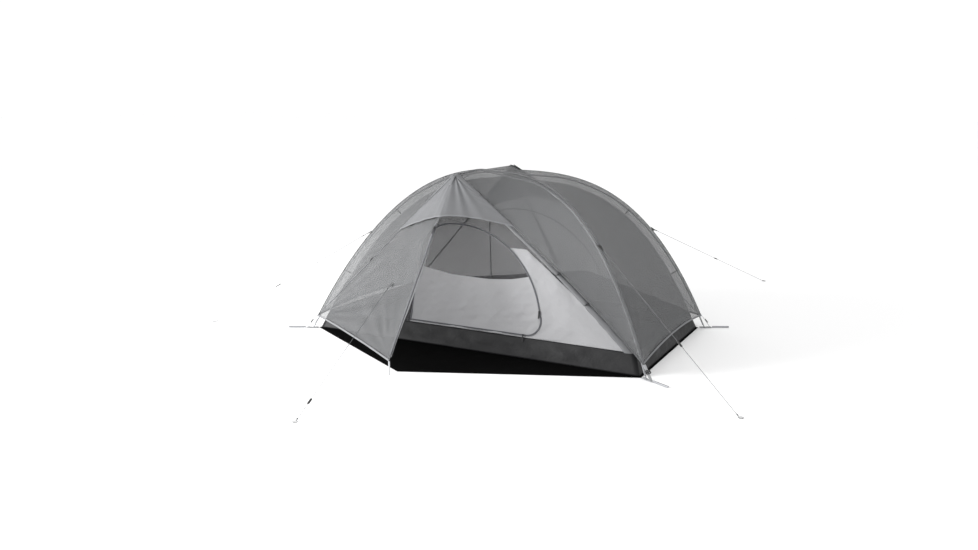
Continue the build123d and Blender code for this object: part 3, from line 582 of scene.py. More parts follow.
tub_floor = sheet_mesh("bathtub_floor_cloth", tub, [TUB], thickness=0.0007, away_from=np.array((0, 0, 3.0)))
settle(tub_floor, "tub_fabric", "bathtub_floor")


# %% [markdown]
# ## Ribbons
# Seam tapes, hems, webbing and zip tapes are all flat ribbons along a path. One function builds them: at each point
# it steps half a width to either side, square to the path and to the cloth beneath.

# %% Ribbon helper
def ribbon(name, path, width, material, thickness=0.0012, normals=None, columns=4):
    """Flat strip along a path; its normal, one or one a point, is by default straight away from the core."""
    path = np.array(path)
    tangent = unit(np.gradient(path, axis=0))
    if normals is None:
        normals = unit(path - CORE)
    aside = unit(np.cross(normals, tangent))
    width = np.broadcast_to(np.asarray(width, float).reshape(-1, 1, 1), (len(path), 1, 1))
    across = np.linspace(-0.5, 0.5, columns)[None, :, None]
    points = path[:, None, :] + aside[:, None, :] * across * width
    return sheet_mesh(name, points, [material], thickness=thickness)


def join(name, pieces):
    """Join pieces into one, with their modifiers applied."""
    graph = bpy.context.evaluated_depsgraph_get()
    whole = bmesh.new()
    for piece in pieces:
        whole.from_mesh(bpy.data.meshes.new_from_object(piece.evaluated_get(graph)))
    mesh = bpy.data.meshes.new(name)
    whole.to_mesh(mesh)
    whole.free()
    for material in pieces[0].data.materials:
        mesh.materials.append(material)
    for piece in pieces:
        bpy.data.objects.remove(piece)
    return add_object(name, mesh)


print("ribbon helper ready")

# %% [markdown]
# ## Inner tent
# The two long sides of the inner tent are flat, leaning triangles, each with a D-shaped door. The upper part is dark
# netting, so that air moves but insects stay out. The front door's lower cloth is light ripstop, and so is the front
# wall right of the door; left of the door the front wall is dark netting too, which paints the shade behind the closed
# fly door there. On the rear side the lower cloth is dark, up to a low gable. A wall is drawn in its own plane: x along
# the tent and c up the slope.

# %% Plane of the inner walls
WALL_RISE = sqrt((TUB_TOP[1] - INNER_PEAK_Y) ** 2 + (INNER_PEAK_Z - CANOPY_START) ** 2)
DOOR_CENTRE = (-0.146, 0.008)
DOOR_RADIUS, DOOR_SILL, DOOR_LEFT, DOOR_CORNER = 0.612, 0.014, -0.410, 0.075


def on_wall(sy, x, c, depth):
    """Points of an inner wall's plane, depth metres outside its outer face."""
    climb = np.array((0, sy * (INNER_PEAK_Y - TUB_TOP[1]), INNER_PEAK_Z - CANOPY_START)) / WALL_RISE
    normal = np.array((0, sy * climb[2], -sy * climb[1]))
    x, c, depth = np.broadcast_arrays(x, c, depth)
    base = np.array((0, sy * TUB_TOP[1], CANOPY_START))
    return base + np.stack([x, 0 * x, 0 * x], -1) + c[..., None] * climb + depth[..., None] * normal


def tangent_arc(start, direction, end, count):
    """Arc from start, leaving in a direction, to end."""
    start, end = np.array(start), np.array(end)
    direction = np.array(direction) / np.linalg.norm(direction)
    normal = np.array((-direction[1], direction[0]))
    chord = end - start
    radius = chord @ chord / (2 * normal @ chord)
    centre = start + normal * radius
    first = np.arctan2(*(start - centre)[::-1])
    sweep = 2 * np.arctan2(normal @ chord, direction @ chord)
    angles = first + np.linspace(0, sweep, count)
    return centre + abs(radius) * np.stack([np.cos(angles), np.sin(angles)], 1)


def door_outline():
    """Closed D, anticlockwise, from the lower end of its round side."""
    angles = np.radians(np.linspace(12, 95, 90))
    side = np.array(DOOR_CENTRE) + DOOR_RADIUS * np.stack([np.cos(angles), np.sin(angles)], 1)
    left_top = (DOOR_LEFT + 0.038, side[-1][1] - 0.120)
    shoulder = tangent_arc(side[-1], (-sin(angles[-1]), cos(angles[-1])), left_top, 16)
    left = lerp(np.array(left_top), np.array((DOOR_LEFT, DOOR_SILL)), np.linspace(0, 1, 40)[:, None])
    start = (side[0][0] - DOOR_CORNER, DOOR_SILL)
    sill = lerp(np.array((DOOR_LEFT, DOOR_SILL)), np.array(start), np.linspace(0, 1, 60)[:, None])
    corner = tangent_arc(start, (1, 0), side[0], 16)
    return np.concatenate([side, shoulder[1:], left[1:], sill[1:], corner[1:-1]])


DOOR = door_outline()
print("door outline", DOOR.min(axis=0), DOOR.max(axis=0))


# %% [markdown]
# The door is meshed in columns, each from the bottom edge of the D to its top edge. The light cloth of the front door
# ends in a soft sagging line, with netting above it; the rear door and wall take the floor's dark finish up to a low
# gable, with netting above it.

# %% Doors of the inner tent
def door_heights(x):
    """Lowest and highest point of the D at x."""
    loop = np.vstack([DOOR, DOOR[:1]])
    hits = []
    for (x0, c0), (x1, c1) in zip(loop, loop[1:]):
        if min(x0, x1) <= x <= max(x0, x1) and abs(x1 - x0) > 1e-9:
            hits.append(c0 + (c1 - c0) * (x - x0) / (x1 - x0))
    return min(hits), max(hits)


def cloth_top_front(x):
    return np.interp(x, (-0.45, -0.354, -0.152, 0.103, 0.25, 0.375, 0.50), (0.372, 0.347, 0.316, 0.312, 0.325,
            0.352, 0.395))


def cloth_top_rear(x):
    return np.interp(x, (-1.04, 0.342, 1.04), (0.0, 0.215, 0.0))


def wall_slack(sy, x, c, seed, height=0.004):
    """How far the wall's cloth stands out of its plane."""
    place = np.stack([x, c, 0 * x], -1)
    return waves(place, 0.24, height, seed, stretch=(1, 0.8, 0)) + waves(place, 0.06, height * 0.3, seed + 1,
            stretch=(0.5, 1, 0))


for end, sy in ENDS.items():
    spread = DOOR[:, 0].min() + (DOOR[:, 0].max() - DOOR[:, 0].min()) * (1 - np.cos(np.linspace(0.012, pi - 0.012,
            150))) / 2
    split_at = cloth_top_front if sy < 0 else cloth_top_rear
    x = np.zeros((101, len(spread)))
    c = np.zeros((101, len(spread)))
    for i, place in enumerate(spread):
        low, high = door_heights(place)
        middle = float(np.clip(split_at(place), low + 0.001, high - 0.001))
        x[:, i] = place
        c[:, i] = np.concatenate([np.linspace(low, middle, 51), np.linspace(middle, high, 51)[1:]])
    border = np.clip(np.minimum(c - c[:1], c[-1:] - c) / 0.05, 0, 1)
    slack = wall_slack(sy, x, c, 31 if sy < 0 else 41, 0.0035) * border
    points = on_wall(sy, x, c, -0.0015 + slack)
    netting = np.zeros((100, len(spread) - 1))
    netting[50:] = 1
    # The rear side's lower cloth takes the floor's dark finish, up to the low gable of cloth_top_rear.
    lower = INNER if sy < 0 else TUB
    door = sheet_mesh(f"inner_{end}_door_panel", points, [lower, NETTING], thickness=0.0005, face_material=netting)
    settle(door, "inner_fabric", f"inner_{end}_door")
    declare(door, points, "stretched", [f"inner_{end}_wall_panel"])

# %% [markdown]
# The wall round the door is meshed in rays from the middle of the door: each ray starts at the zip and ends on the
# wall's triangular edge. Rays that point at a corner are added, so the corners stay sharp.


# %% Walls of the inner tent
def ray_hit(loop, origin, angle):
    """Distance from the origin to a closed outline in a direction."""
    a, b = loop - origin, np.roll(loop, -1, axis=0) - origin
    d = np.array((cos(angle), sin(angle)))
    ca, cb = a[:, 0] * d[1] - a[:, 1] * d[0], b[:, 0] * d[1] - b[:, 1] * d[0]
    crossing = (ca * cb <= 0) & (np.abs(ca - cb) > 1e-12)
    share = np.where(crossing, ca / np.where(crossing, ca - cb, 1), 0)
    reach = (a + (b - a) * share[:, None]) @ d
    return reach[crossing & (reach > 0)].max()


TRIANGLE = np.array([(-TUB_TOP[0], 0.0), (TUB_TOP[0], 0.0), (HUB_X, WALL_RISE)])
MIDDLE = np.array((-0.05, 0.22))
corner_angles = [np.arctan2(*(p - MIDDLE)[::-1]) for p in [*TRIANGLE, (DOOR_LEFT, DOOR_SILL)]]
angles = np.unique(np.concatenate([np.linspace(-pi, pi, 341), corner_angles]))
for end, sy in ENDS.items():
    reach_in = np.array([ray_hit(DOOR, MIDDLE, a) for a in angles]) + 0.001
    reach_out = np.array([ray_hit(TRIANGLE, MIDDLE, a) for a in angles]) - 0.002
    share = np.linspace(0, 1, 34)[:, None]
    reach = lerp(reach_in[None, :], np.maximum(reach_out, reach_in + 0.001)[None, :], share)
    x = MIDDLE[0] + reach * np.cos(angles)
    c = MIDDLE[1] + reach * np.sin(angles)
    slack = wall_slack(sy, x, c, 33 if sy < 0 else 43) * np.clip(np.sin(share * pi) * 1.6, 0, 1)
    points = on_wall(sy, x, c, -0.0015 + slack)
    centre_x = (x[:-1, :-1] + x[1:, 1:]) / 2
    centre_c = (c[:-1, :-1] + c[1:, 1:]) / 2
    if sy < 0:
        # On the front wall only the light cloth right of the door and a strip under it stay; left of the door the wall
        # is dark netting, which paints the shade behind the closed left fly door.
        right = (centre_x > 0.05) & (centre_c < 0.505)
        netting = np.where(right | ((centre_c < 0.012) & (centre_x > DOOR_LEFT)), 0, 1)
    else:
        netting = np.where(centre_c < cloth_top_rear(centre_x), 0, 1)
    wall_cloth = sheet_mesh(f"inner_{end}_wall_panel", points, [INNER if sy < 0 else TUB, NETTING], thickness=0.0005,
            face_material=netting)
    settle(wall_cloth, "inner_fabric", f"inner_{end}_wall")
    declare(wall_cloth, points, "stretched", ["pole_clips", "bathtub_floor_cloth"])

# %% [markdown]
# The ends of the inner tent follow the poles, 45 mm inside them, where the clips hold them. They are netting too,
# with a narrow strip of the wall's netting between each pole and the wall's seam.

# %% Ends of the inner tent
for side, sx in SIDES.items():
    strips = [(inner_seam(sx, -1), inner_leg(sx, -1), 20, 0.004), (inner_leg(sx, -1), inner_leg(sx, 1), 60, 0.016),
            (inner_leg(sx, 1), inner_seam(sx, 1), 20, 0.004)]
    whole = None
    for n, (edge_a, edge_b, across, sag) in enumerate(strips):
        strip = shaped(grid(edge_a, edge_b, across, 90), sag=sag, wave=0.002, seed=50 + 7 * n + sx, hold_hem=True)
        whole = strip if whole is None else np.concatenate([whole, strip[:, 1:]], axis=1)
    points = outward(whole, -0.0015)
    canopy = sheet_mesh(f"inner_{side}_canopy_net", points, [NETTING], thickness=0.0005)
    settle(canopy, "inner_fabric", f"inner_canopy_{side}")
    declare(canopy, points, "hung", ["pole_clips", "bathtub_floor_cloth"])

# %% [markdown]
# ## Fly
# The fly is the waterproof outer cloth. Each end is one panel between two poles; along the front and rear a strip
# joins each pole to the vestibule's seam; and the vestibule doors meet at the zip. All of them share the same seams.

# %% Fly panels
hems = []
for side, sx in SIDES.items():
    low_left, low_right = leg_point(sx, -1, HEM_HEIGHT), leg_point(sx, 1, HEM_HEIGHT)
    points = grid(leg(sx, -1), leg(sx, 1), 90, 120, arch=HEM_ARCH)
    hems.append((f"hem_{side}_end", points[0]))
    points = shaped(points, sag=0.022, wave=0.002, seed=60 + sx,
            folds=[(low_left, 0.25, 0.0022, 26), (low_right, 0.25, 0.0022, 26)])
    points = outward(points, FLY_DEPTH)
    panel = sheet_mesh(f"fly_{side}_end_panel", points, [FLY])
    settle(panel, "fly_fabric", f"fly_{side}_end")
    declare(panel, points, "stretched", ["pole_front_left", "pole_hub"])
    for end, sy in ENDS.items():
        corner = leg_point(sx, sy, HEM_HEIGHT)
        points = grid(seam(sx, sy), leg(sx, sy), 60, 130)
        points = shaped(points, sag=0.010, wave=0.0022, seed=70 + 3 * sx + sy,
                folds=[(corner, 0.30, 0.0015, 40), (peak(sy), 0.16, 0.0022, 20)])
        points = outward(points, FLY_DEPTH)
        panel = sheet_mesh(f"fly_{end}_{side}_panel", points, [FLY])
        settle(panel, "fly_fabric", f"fly_{end}_{side}")
        declare(panel, points, "stretched", [f"pole_{end}_{side}", "brow_pole"])

# %% [markdown]
# A vestibule door is pulled out to its peg at the point. It is nearly flat, with long folds from the peg and from
# the peak, and its free lower part hangs a little slack between them.

# %% Closed doors
for name, sx, sy in (("front_door_closed", -1, -1), ("rear_door_left", -1, 1), ("rear_door_right", 1, 1)):
    points = grid(seam(sx, sy), zip_line(sy), 90, 120, arch=HEM_ARCH / 4)
    hems.append((f"hem_{name}", points[0]))
    points = shaped(points, sag=0.012, wave=0.0030, wave_length=0.26, seed=80 + sx + 2 * sy,
            folds=[(zip_line(sy)(0), 0.30, 0.0022, 22), (peak(sy), 0.22, 0.0018, 34),
            (leg_point(sx, sy, HEM_HEIGHT), 0.25, 0.0020, 30)])
    points = outward(points, FLY_DEPTH)
    door = sheet_mesh(f"{name}_panel", points, [FLY])
    settle(door, "fly_fabric", name)
    declare(door, points, "stretched", ["corner_webbing", "brow_pole"])
print("fly panels done")

# %% [markdown]
# Over the top of each zip sits a storm hood, a second layer with an arched, stiffened edge. It stands a few
# millimetres off the doors, so it throws a thin dark line beneath its arch.

# %% Hoods
HOOD_LOW = (0.63, 0.75, 0.68)


def hood_grid(sy, columns=70, rows=40):
    left, middle, right = HOOD_LOW
    c = np.linspace(0, 1, columns + 1)
    low = left + (4 * middle - 3 * left - right) * c + (2 * left + 2 * right - 4 * middle) * c * c
    points = np.zeros((rows + 1, columns + 1, 3))
    for i in range(columns + 1):
        for j in range(rows + 1):
            t = low[i] + (0.985 - low[i]) * j / rows
            if c[i] <= 0.5:
                points[j, i] = lerp(seam(-1, sy)(t), zip_line(sy)(t), 2 * c[i])
            else:
                points[j, i] = lerp(zip_line(sy)(t), seam(1, sy)(t), 2 * c[i] - 1)
    return points


for end, sy in ENDS.items():
    points = shaped(hood_grid(sy), sag=-0.004, wave=0.0014, wave_length=0.18, pucker=0.0008, seed=90 + sy,
            folds=[(peak(sy), 0.13, 0.0016, 26)])
    points = outward(points, HOOD_DEPTH)
    hood = sheet_mesh(f"{end}_storm_hood", points, [FLY_TWO_LAYER])
    rim = ribbon(f"{end}_hood_edge", points[0] + unit(points[0] - CORE) * 0.0009, 0.010, BINDING, thickness=0.0022)
    settle(rim, "fly_fabric")
    settle(hood, "fly_fabric", f"{end}_hood")
    declare(hood, points, "stretched", ["brow_pole"], with_pieces=[rim])

# %% [markdown]
# ## Rolled door
# The right front door is rolled up towards its seam and tied. It is the same triangle of cloth as its neighbour, so
# it has more turns near the ground than near the peak. The mesh really is a spiral: from the seam the cloth winds
# inwards, and each point is found from how much cloth has already been wound.

# %% Rolled door
MOST_CLOTH, CLOTH_SHARE = 0.97, 0.72    # metres of cloth in a turn's section, and as a share of the door there
ROLL_START, ROLL_END = 0.05, 0.70
ROLL_WIDTH, ROLL_DEPTH = 0.040, 0.022
TOGGLE_PLACES = {"upper": 0.422, "lower": 0.272}
ROLL_CORE = 0.12                     # innermost turn as a share of the outermost


def roll_centre(t):
    across = unit(zip_line(-1)(t) - seam(1, -1)(t))
    return outward(seam(1, -1)(t) + across * (ROLL_WIDTH / 2 + 0.008), FLY_DEPTH - 0.0015), across


def roll_size(t):
    size = 1.15 - 0.6 * (t - ROLL_START) / (ROLL_END - ROLL_START)
    tied = sum(np.exp(-((t - place) / 0.010) ** 2) for place in TOGGLE_PLACES.values())
    return size * (0.97 - 0.16 * tied)


steps = np.linspace(ROLL_START, ROLL_END, 90)
wound = np.arange(0, 0.98, 0.006)
points = np.zeros((len(steps), len(wound), 3))
for j, t in enumerate(steps):
    centre, across = roll_centre(t)
    depth = unit(centre - CORE)
    half = np.array((ROLL_WIDTH, ROLL_DEPTH)) / 2 * roll_size(t)
    around = 2 * pi * sqrt((half @ half) / 2)
    cloth = min(MOST_CLOTH, CLOTH_SHARE * np.linalg.norm(zip_line(-1)(t) - seam(1, -1)(t)))
    total = 2 * pi * cloth / (around * (1 + ROLL_CORE) / 2)
    bend = (1 - ROLL_CORE) / (2 * total)
    angle = (1 - np.sqrt(np.maximum(0, 1 - 4 * bend * 2 * pi * np.minimum(wound, cloth) / around))) / (2 * bend)
    scale = 1 - (1 - ROLL_CORE) * angle / total
    lumps = 1 + 0.07 * np.sin(3 * angle + 60 * t) * np.sin(41 * t + 1) + 0.05 * np.sin(2 * angle - 95 * t)
    points[j] = (centre + across * (np.cos(angle + pi) * half[0] * scale * lumps)[:, None]
            + depth * (np.sin(angle + pi) * half[1] * scale * lumps)[:, None])
rolled = sheet_mesh("front_door_roll", points, [FLY_TWO_LAYER], thickness=0.0004)
settle(rolled, "fly_fabric", "front_door_rolled")
declare(rolled, points, "folded", ["fly_front_right_panel"])

# %% [markdown]
# Each toggle is held by an elastic loop sewn to the seam, which goes round the roll and over the toggle's middle.

# %% Toggle loops
loops = []
for name, t in TOGGLE_PLACES.items():
    centre, across = roll_centre(t)
    depth = unit(centre - CORE)
    half = np.array((ROLL_WIDTH, ROLL_DEPTH)) / 2 * roll_size(t) * 1.06 + 0.0016
    angle = np.linspace(0, 2 * pi, 12, endpoint=False)
    route = centre + across * (np.cos(angle) * half[0])[:, None] + depth * (np.sin(angle) * half[1])[:, None]
    loops.append(settle(curve_object(f"toggle_loop_{name}", route, 0.0012, ELASTIC, cyclic=True), "cord"))
print("toggle loops", len(loops))

# %% [markdown]
# ## Seams, hems and edges
# Panels are joined by flat-felled seams, which show as a slightly thicker band of cloth, 11 mm wide, with the
# stitches along it. The hem is bound with grosgrain tape, and the free edge of the closed front door carries a storm
# flap that lies over the zip.

# %% Seam bands
SEAM_DEPTH = FLY_DEPTH + 0.0012
seam_paths = {}
for side, sx in SIDES.items():
    for end, sy in ENDS.items():
        seam_paths[f"pole_seam_{end}_{side}"] = outward(sample(leg(sx, sy), 0, 0.995, 120), SEAM_DEPTH)
        seam_paths[f"vestibule_seam_{end}_{side}"] = outward(sample(seam(sx, sy), 0, 0.995, 120), SEAM_DEPTH)
for end, sy in ENDS.items():
    brow = np.array([leg_point(1, sy, HUB_HEIGHT), peak(sy)])
    seam_paths[f"brow_seam_{end}"] = outward(lerp(brow[0], brow[1], np.linspace(0, 1, 40)[:, None]),
            SEAM_DEPTH)
for name, path in seam_paths.items():
    band = ribbon(name, path, 0.011, FLY_TWO_LAYER, thickness=0.0012)
    settle(band, "fly_fabric")

# %% Hem bindings
for name, row in hems:
    path = outward(row, FLY_DEPTH) + np.array((0, 0, 0.004))
    binding = ribbon(name, path, 0.012, BINDING, thickness=0.0020)
    settle(binding, "fly_fabric")

# %% [markdown]
# ## Stitches and zip coils
# Thousands of stitches and coil turns follow paths, so Geometry Nodes place them. The tree resamples a path at a
# pitch, puts one small tube or ring at each point, turned along the path, and realises them. The node group has
# named inputs, so the same tree sews with any pitch and any thread.


# %% Node tree that repeats a shape along a path
def repeat_tree():
    tree = bpy.data.node_groups.new("repeat_along_path", "GeometryNodeTree")
    face = tree.interface
    face.new_socket("Path", in_out="INPUT", socket_type="NodeSocketGeometry")
    for label, value in (("Pitch", 0.006), ("Length", 0.004), ("Radius", 0.0005), ("Ring radius", 0.0016)):
        socket = face.new_socket(label, in_out="INPUT", socket_type="NodeSocketFloat")
        socket.default_value = value
    face.new_socket("Rings", in_out="INPUT", socket_type="NodeSocketBool")
    face.new_socket("Finish", in_out="INPUT", socket_type="NodeSocketMaterial")
    face.new_socket("Geometry", in_out="OUTPUT", socket_type="NodeSocketGeometry")
    given = add(tree, "NodeGroupInput").outputs
    curve = add(tree, "GeometryNodeMeshToCurve", {"Mesh": given["Path"]})
    even = add(tree, "GeometryNodeCurveToPoints", {"Curve": curve.outputs[0], "Length": given["Pitch"]},
            mode="LENGTH")
    stitch = add(tree, "GeometryNodeMeshCylinder", {"Vertices": 5, "Radius": given["Radius"],
            "Depth": given["Length"]}, fill_type="TRIANGLE_FAN")
    loop = add(tree, "GeometryNodeCurvePrimitiveCircle", {"Resolution": 9, "Radius": given["Ring radius"]})
    wire = add(tree, "GeometryNodeCurvePrimitiveCircle", {"Resolution": 4, "Radius": given["Radius"]})
    ring = add(tree, "GeometryNodeCurveToMesh", {"Curve": loop.outputs[0], "Profile Curve": wire.outputs[0]})
    shape = add(tree, "GeometryNodeSwitch", {"Switch": given["Rings"], "False": stitch.outputs["Mesh"],
            "True": ring.outputs[0]}, input_type="GEOMETRY")
    turned = add(tree, "FunctionNodeAlignRotationToVector", {"Vector": even.outputs["Tangent"]}, axis="Z")
    placed = add(tree, "GeometryNodeInstanceOnPoints", {"Points": even.outputs["Points"],
            "Instance": shape.outputs[0],
            "Rotation": turned.outputs[0]})
    real = add(tree, "GeometryNodeRealizeInstances", {"Geometry": placed.outputs[0]})
    finished = add(tree, "GeometryNodeSetMaterial", {"Geometry": real.outputs[0], "Material": given["Finish"]})
    add(tree, "NodeGroupOutput", {"Geometry": finished.outputs[0]})
    return tree


REPEAT = repeat_tree()


def repeated(name, paths, **inputs):
    """One plain mesh with a shape repeated along several paths."""
    verts, edges = [], []
    for path in paths:
        first = len(verts)
        verts += [tuple(p) for p in path]
        edges += [(first + i, first + i + 1) for i in range(len(path) - 1)]
    mesh = bpy.data.meshes.new(name + "_path")
    mesh.from_pydata(verts, edges, [])
    maker = add_object(name, mesh)
    modifier = maker.modifiers.new("repeat", "NODES")
    modifier.node_group = REPEAT
    for item in REPEAT.interface.items_tree:
        if item.in_out == "INPUT" and item.name in inputs:
            modifier[item.identifier] = inputs[item.name]
    graph = bpy.context.evaluated_depsgraph_get()
    made = bpy.data.meshes.new_from_object(maker.evaluated_get(graph))
    maker.modifiers.clear()
    maker.data = made
    print(name, len(made.polygons), "faces")
    return maker


# %% Stitches on the seams and hems
rows = []
for name, path in seam_paths.items():
    normals = unit(path - CORE)
    aside = unit(np.cross(normals, unit(np.gradient(path, axis=0))))
    for shift in (-0.0036, 0.0036):
        rows.append(path + normals * 0.0007 + aside * shift)
for name, row in hems:
    rows.append(outward(row, SEAM_DEPTH) + np.array((0, 0, 0.006)))
stitches = repeated("fly_stitches", rows, Pitch=0.009, Length=0.0060, Radius=0.0004, Finish=THREAD)
settle(stitches, "cord")

# %% [markdown]
# ## Zips
# A zip is a woven tape with a nylon coil sewn along its middle. The inner doors' zips run all the way round the D;
# the fly's zips run up the meeting edge, half under a storm flap.


# %% Inner zips
COIL_PITCH, COIL_WIRE, COIL_LIFT = 0.0032, 0.0006, 0.0004


def zip_along(node, path, normal, width, thickness, ring_radius):
    """A tape that stands for the CAD zip, with a coil along its middle."""
    tape = ribbon(f"{node}_tape", path, width, ZIP_TAPE, thickness=thickness, normals=normal)
    settle(tape, "zip_coil", node)
    coil = repeated(f"{node}_coil", [path + normal * COIL_LIFT], Pitch=COIL_PITCH, Radius=COIL_WIRE, Rings=True,
            Finish=COIL, **{"Ring radius": ring_radius})
    settle(coil, "zip_coil")


door_loop = np.vstack([DOOR, DOOR[:1]])
for end, sy in ENDS.items():
    path = on_wall(sy, door_loop[:, 0], door_loop[:, 1], 0.0011)
    normal = on_wall(sy, 0.0, 0.0, 1.0) - on_wall(sy, 0.0, 0.0, 0.0)
    zip_along(f"inner_{end}_zip", path, normal, 0.009, 0.0007, 0.0012)

# %% Fly zips and storm flap
FLY_ZIP_TOP, FLY_ZIP_DEPTH, FLAP_TOP = 0.715, 0.013, 0.70
for end, sy in ENDS.items():
    low = outward(zip_line(sy)(0.03), FLY_ZIP_DEPTH)
    high = outward(zip_line(sy)(FLY_ZIP_TOP), FLY_ZIP_DEPTH)
    inside = outward(seam(-1, sy)(0.4), FLY_ZIP_DEPTH)
    up = unit(high - low)
    normal = unit(np.cross(high - low, inside - low))
    normal = normal if normal[1] * sy > 0 else -normal
    into = unit(np.cross(normal, up))
    into = into if (inside - low) @ into > 0 else -into
    path = lerp(low, high, np.linspace(0, 1, 80)[:, None]) + normal * 0.0024 + into * 0.007
    zip_along(f"fly_{end}_zip", path, normal, 0.012, 0.0010, 0.0013)
    t = np.linspace(0.02, FLAP_TOP, 90)
    edge = outward(np.array([zip_line(sy)(v) for v in t]), FLY_DEPTH - 0.001)
    bulge = (np.sin(pi * np.clip(1 - t / FLAP_TOP, 0, 1)) ** 2) * 0.014 + 0.004
    flap = np.stack([edge + into * 0.002, edge - into * (bulge * 0.5)[:, None], edge - into * bulge[:, None]], axis=0)
    flap += normal * (waves(flap, 0.11, 0.0012, 99)[..., None] * np.array((0, 0.6, 1.0))[:, None, None])
    storm_flap = sheet_mesh(f"{end}_storm_flap", flap, [FLY_TWO_LAYER])
    settle(storm_flap, "fly_fabric")
    declare(storm_flap, flap, "hung", [f"fly_{end}_zip_tape"])

# %% [markdown]
# ## Small parts sewn to the cloth
# Triangular reinforcements carry the guylines' pull into the fly, a Y of doubled cloth strengthens the peak, and
# webbing runs from the hem to the pegs.

# %% Guyline tabs
anchors = {"left": leg_point(-1, -1, 0.620), "right": leg_point(1, -1, 0.665), "rear": leg_point(1, 1, 0.640),
        "front": lerp(seam(-1, -1)(0.34), zip_line(-1)(0.34), 0.62)}
tab_pieces = []
for name, (start, end, _) in GUYLINES.items():
    root = outward(anchors[name], FLY_DEPTH + 0.003)
    tip = np.array(start)
    path = lerp(root, tip, np.linspace(0, 1, 14)[:, None])
    width = np.interp(np.linspace(0, 1, 14), (0, 0.75, 1), (0.034, 0.009, 0.007))
    along = unit(tip - root)
    flat = np.cross(along, np.cross(unit(root - CORE), along))
    tab = ribbon(f"guyline_tab_{name}", path, width, DARK_BINDING, thickness=0.0018, normals=flat,
            columns=6)
    tab_pieces.append(tab)
tabs = join("guyline_tab_webbing", tab_pieces)
settle(tabs, "webbing", "guyline_tabs")

# %% Peak reinforcement
for end, sy in ENDS.items():
    top = peak(sy)
    strips = []
    for target, reach in ((seam(-1, sy), 0.80), (seam(1, sy), 0.86)):
        path = outward(np.array([target(v) for v in np.linspace(0.995, reach, 16)]), HOOD_DEPTH + 0.0016)
        width = np.interp(np.linspace(0, 1, 16), (0, 1), (0.030, 0.010))
        strips.append(ribbon(f"peak_strip_{end}_{len(strips)}", path, width, FLY_TWO_LAYER, thickness=0.0010))
    fore = outward(np.array([zip_line(sy)(v) for v in np.linspace(0.985, 0.93, 12)]), HOOD_DEPTH + 0.0026)
    strips.append(ribbon(f"peak_strip_{end}_2", fore, np.interp(np.linspace(0, 1, 12), (0, 1), (0.030, 0.018)),
            FLY_TWO_LAYER, thickness=0.0010))
    patch = join(f"{end}_peak_reinforcement", strips)
    settle(patch, "fly_fabric")
print("peaks reinforced")

# %% Corner webbing
FLOOR_Z = 0.0025
STRAP_WIDTH, WEB_WIDTH, LOOP_WIDTH = 0.025, 0.020, 0.010
straps = []
for number, (sx, sy) in enumerate(((-1, -1), (-1, 1), (1, -1), (1, 1))):
    base = foot(sx, sy)
    e = unit(base)
    flat = np.array([base + e * v + (0, 0, FLOOR_Z + 0.001) for v in np.linspace(-0.030, 0.046, 24)])
    flat[:, 2] += 0.0006 * np.sin(np.linspace(0, 9, 24))
    straps.append(ribbon(f"strap_{number}", flat, STRAP_WIDTH, WEBBING, thickness=0.0018,
            normals=(0.0, 0.0, 1.0)))
    hem = outward(leg_point(sx, sy, HEM_HEIGHT), 0.017)
    ground = base + (0, 0, FLOOR_Z + 0.005) + e * 0.034
    web = lerp(hem, ground, np.linspace(0, 1, 24)[:, None])
    down = unit(ground - hem)
    normal = np.cross(np.cross(down, (0, 0, 1.0)), down)
    web = web + np.sin(np.linspace(0, pi, 24))[:, None] * normal * 0.001
    straps.append(ribbon(f"web_{number}", web, WEB_WIDTH, WEBBING, thickness=0.0018,
            normals=normal))
for end, sy in ENDS.items():
    hem = outward(zip_line(sy)(0), 0.010)
    path = np.array([hem + (0, sy * 0.001, v) for v in np.linspace(0.0, 0.0008 - hem[2], 20)])
    straps.append(ribbon(f"point_loop_{end}", path, LOOP_WIDTH, WEBBING, thickness=0.0016,
            normals=(0.0, float(sy), 0.0)))
webs = join("corner_webbing_straps", straps)
settle(webs, "webbing", "corner_webbing")

# %% [markdown]
# Each guyline ends in a knot where its loop closes, and another where it is tied to the tab. A knot is a few turns of
# the same cord wound tightly round it.


# %% Knots
def knot_points(place, along, turns=2.5, radius=0.0026, length=0.010, count=26):
    side = unit(np.cross(along, (0.0, 0.0, 1.0)))
    other = np.cross(along, side)
    share = np.linspace(0, 1, count)
    angle = share * turns * 2 * pi
    return (place + along * ((share - 0.5) * length)[:, None] + side * (np.cos(angle) * radius)[:, None]
            + other * (np.sin(angle) * radius)[:, None])


knots = []
for name, (start, end, _) in GUYLINES.items():
    start, end = np.array(start), np.array(end)
    along = unit(end - start)
    low = knot_points(end - along * 0.010 + (0, 0, 0.0022), along)
    low[:, 2] = np.maximum(low[:, 2], 0.0016)
    for label, route in (("low", low), ("high", knot_points(start + along * 0.012, along))):
        knots.append(settle(curve_object(f"knot_{label}_{name}", route, CORD_RADIUS, CORD), "cord"))
print("knots", len(knots))

# %% [markdown]
# A short black toggle on the left seam holds the other door when it is rolled back, as on the right.

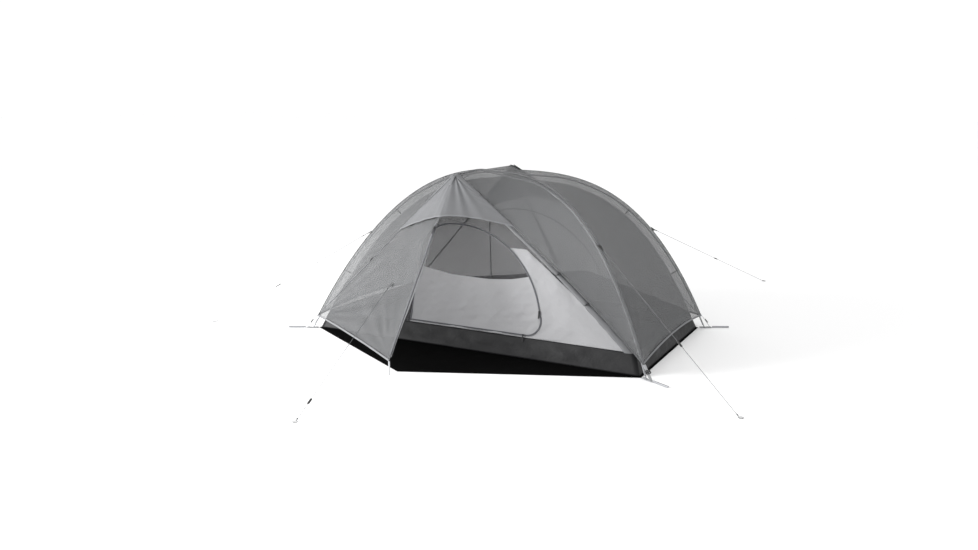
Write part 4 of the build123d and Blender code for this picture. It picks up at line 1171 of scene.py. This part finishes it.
# %% Tie-back on the left seam
place = outward(seam(-1, -1)(0.42), FLY_DEPTH + 0.0045)
aside = unit(seam(-1, -1)(0.43) - seam(-1, -1)(0.41))
bar = lerp(place - aside * 0.014, place + aside * 0.014, np.linspace(0, 1, 5)[:, None])
toggle = curve_object("left_tie_toggle", bar, 0.0035, ACETAL)
settle(toggle, "moulded_plastic")
loop_side = unit(np.cross(aside, unit(place - CORE)))
angle = np.linspace(0, 2 * pi, 10, endpoint=False)
route = place + loop_side * (np.cos(angle) * 0.011)[:, None] + unit(place - CORE) * (np.sin(angle) * 0.0045)[:, None]
settle(curve_object("left_tie_loop", route, 0.0010, ELASTIC, cyclic=True), "cord")

# %% [markdown]
# ## Studio
# The tent stands on a seamless pale floor in even light. A bright white surround lights every side, and one large
# softbox at the front left makes the left faces brighter than the right ones, which shows the shape.

# %% Floor and light
floor_mesh = bpy.data.meshes.new("studio_floor")
REACH, FLOOR_GAP = 60.0, 0.0005
floor_mesh.from_pydata([(x * REACH, y * REACH, -FLOOR_GAP) for x, y in ((-1, -1), (1, -1), (1, 1), (-1, 1))], [],
        [(0, 1, 2, 3)])
floor = add_object("studio_floor", floor_mesh)
paper, tree = new_material("pale_studio_paper")
paper_surface = add(tree, "ShaderNodeBsdfPrincipled", {"Base Color": linear("#fafafa"), "Roughness": 0.9})
add(tree, "ShaderNodeOutputMaterial", {"Surface": paper_surface.outputs[0]})
floor_mesh.materials.append(paper)

SURROUND_STRENGTH = 1.05
world = bpy.data.worlds.new("white_surround")
world.use_nodes = True
background = world.node_tree.nodes["Background"]
background.inputs["Color"].default_value = (1, 1, 1, 1)
background.inputs["Strength"].default_value = SURROUND_STRENGTH
bpy.context.scene.world = world


def softbox(name, place, target, size, watts):
    light = bpy.data.lights.new(name, "AREA")
    light.energy, light.size = watts, size
    lamp = add_object(name, light)
    lamp.location = place
    lamp.rotation_euler = (Vector(target) - Vector(place)).to_track_quat("-Z", "Y").to_euler()


softbox("key_softbox", place=(-4.6, -4.2, 1.9), target=(0, 0, 0.4), size=2.6, watts=600)
print("studio ready")
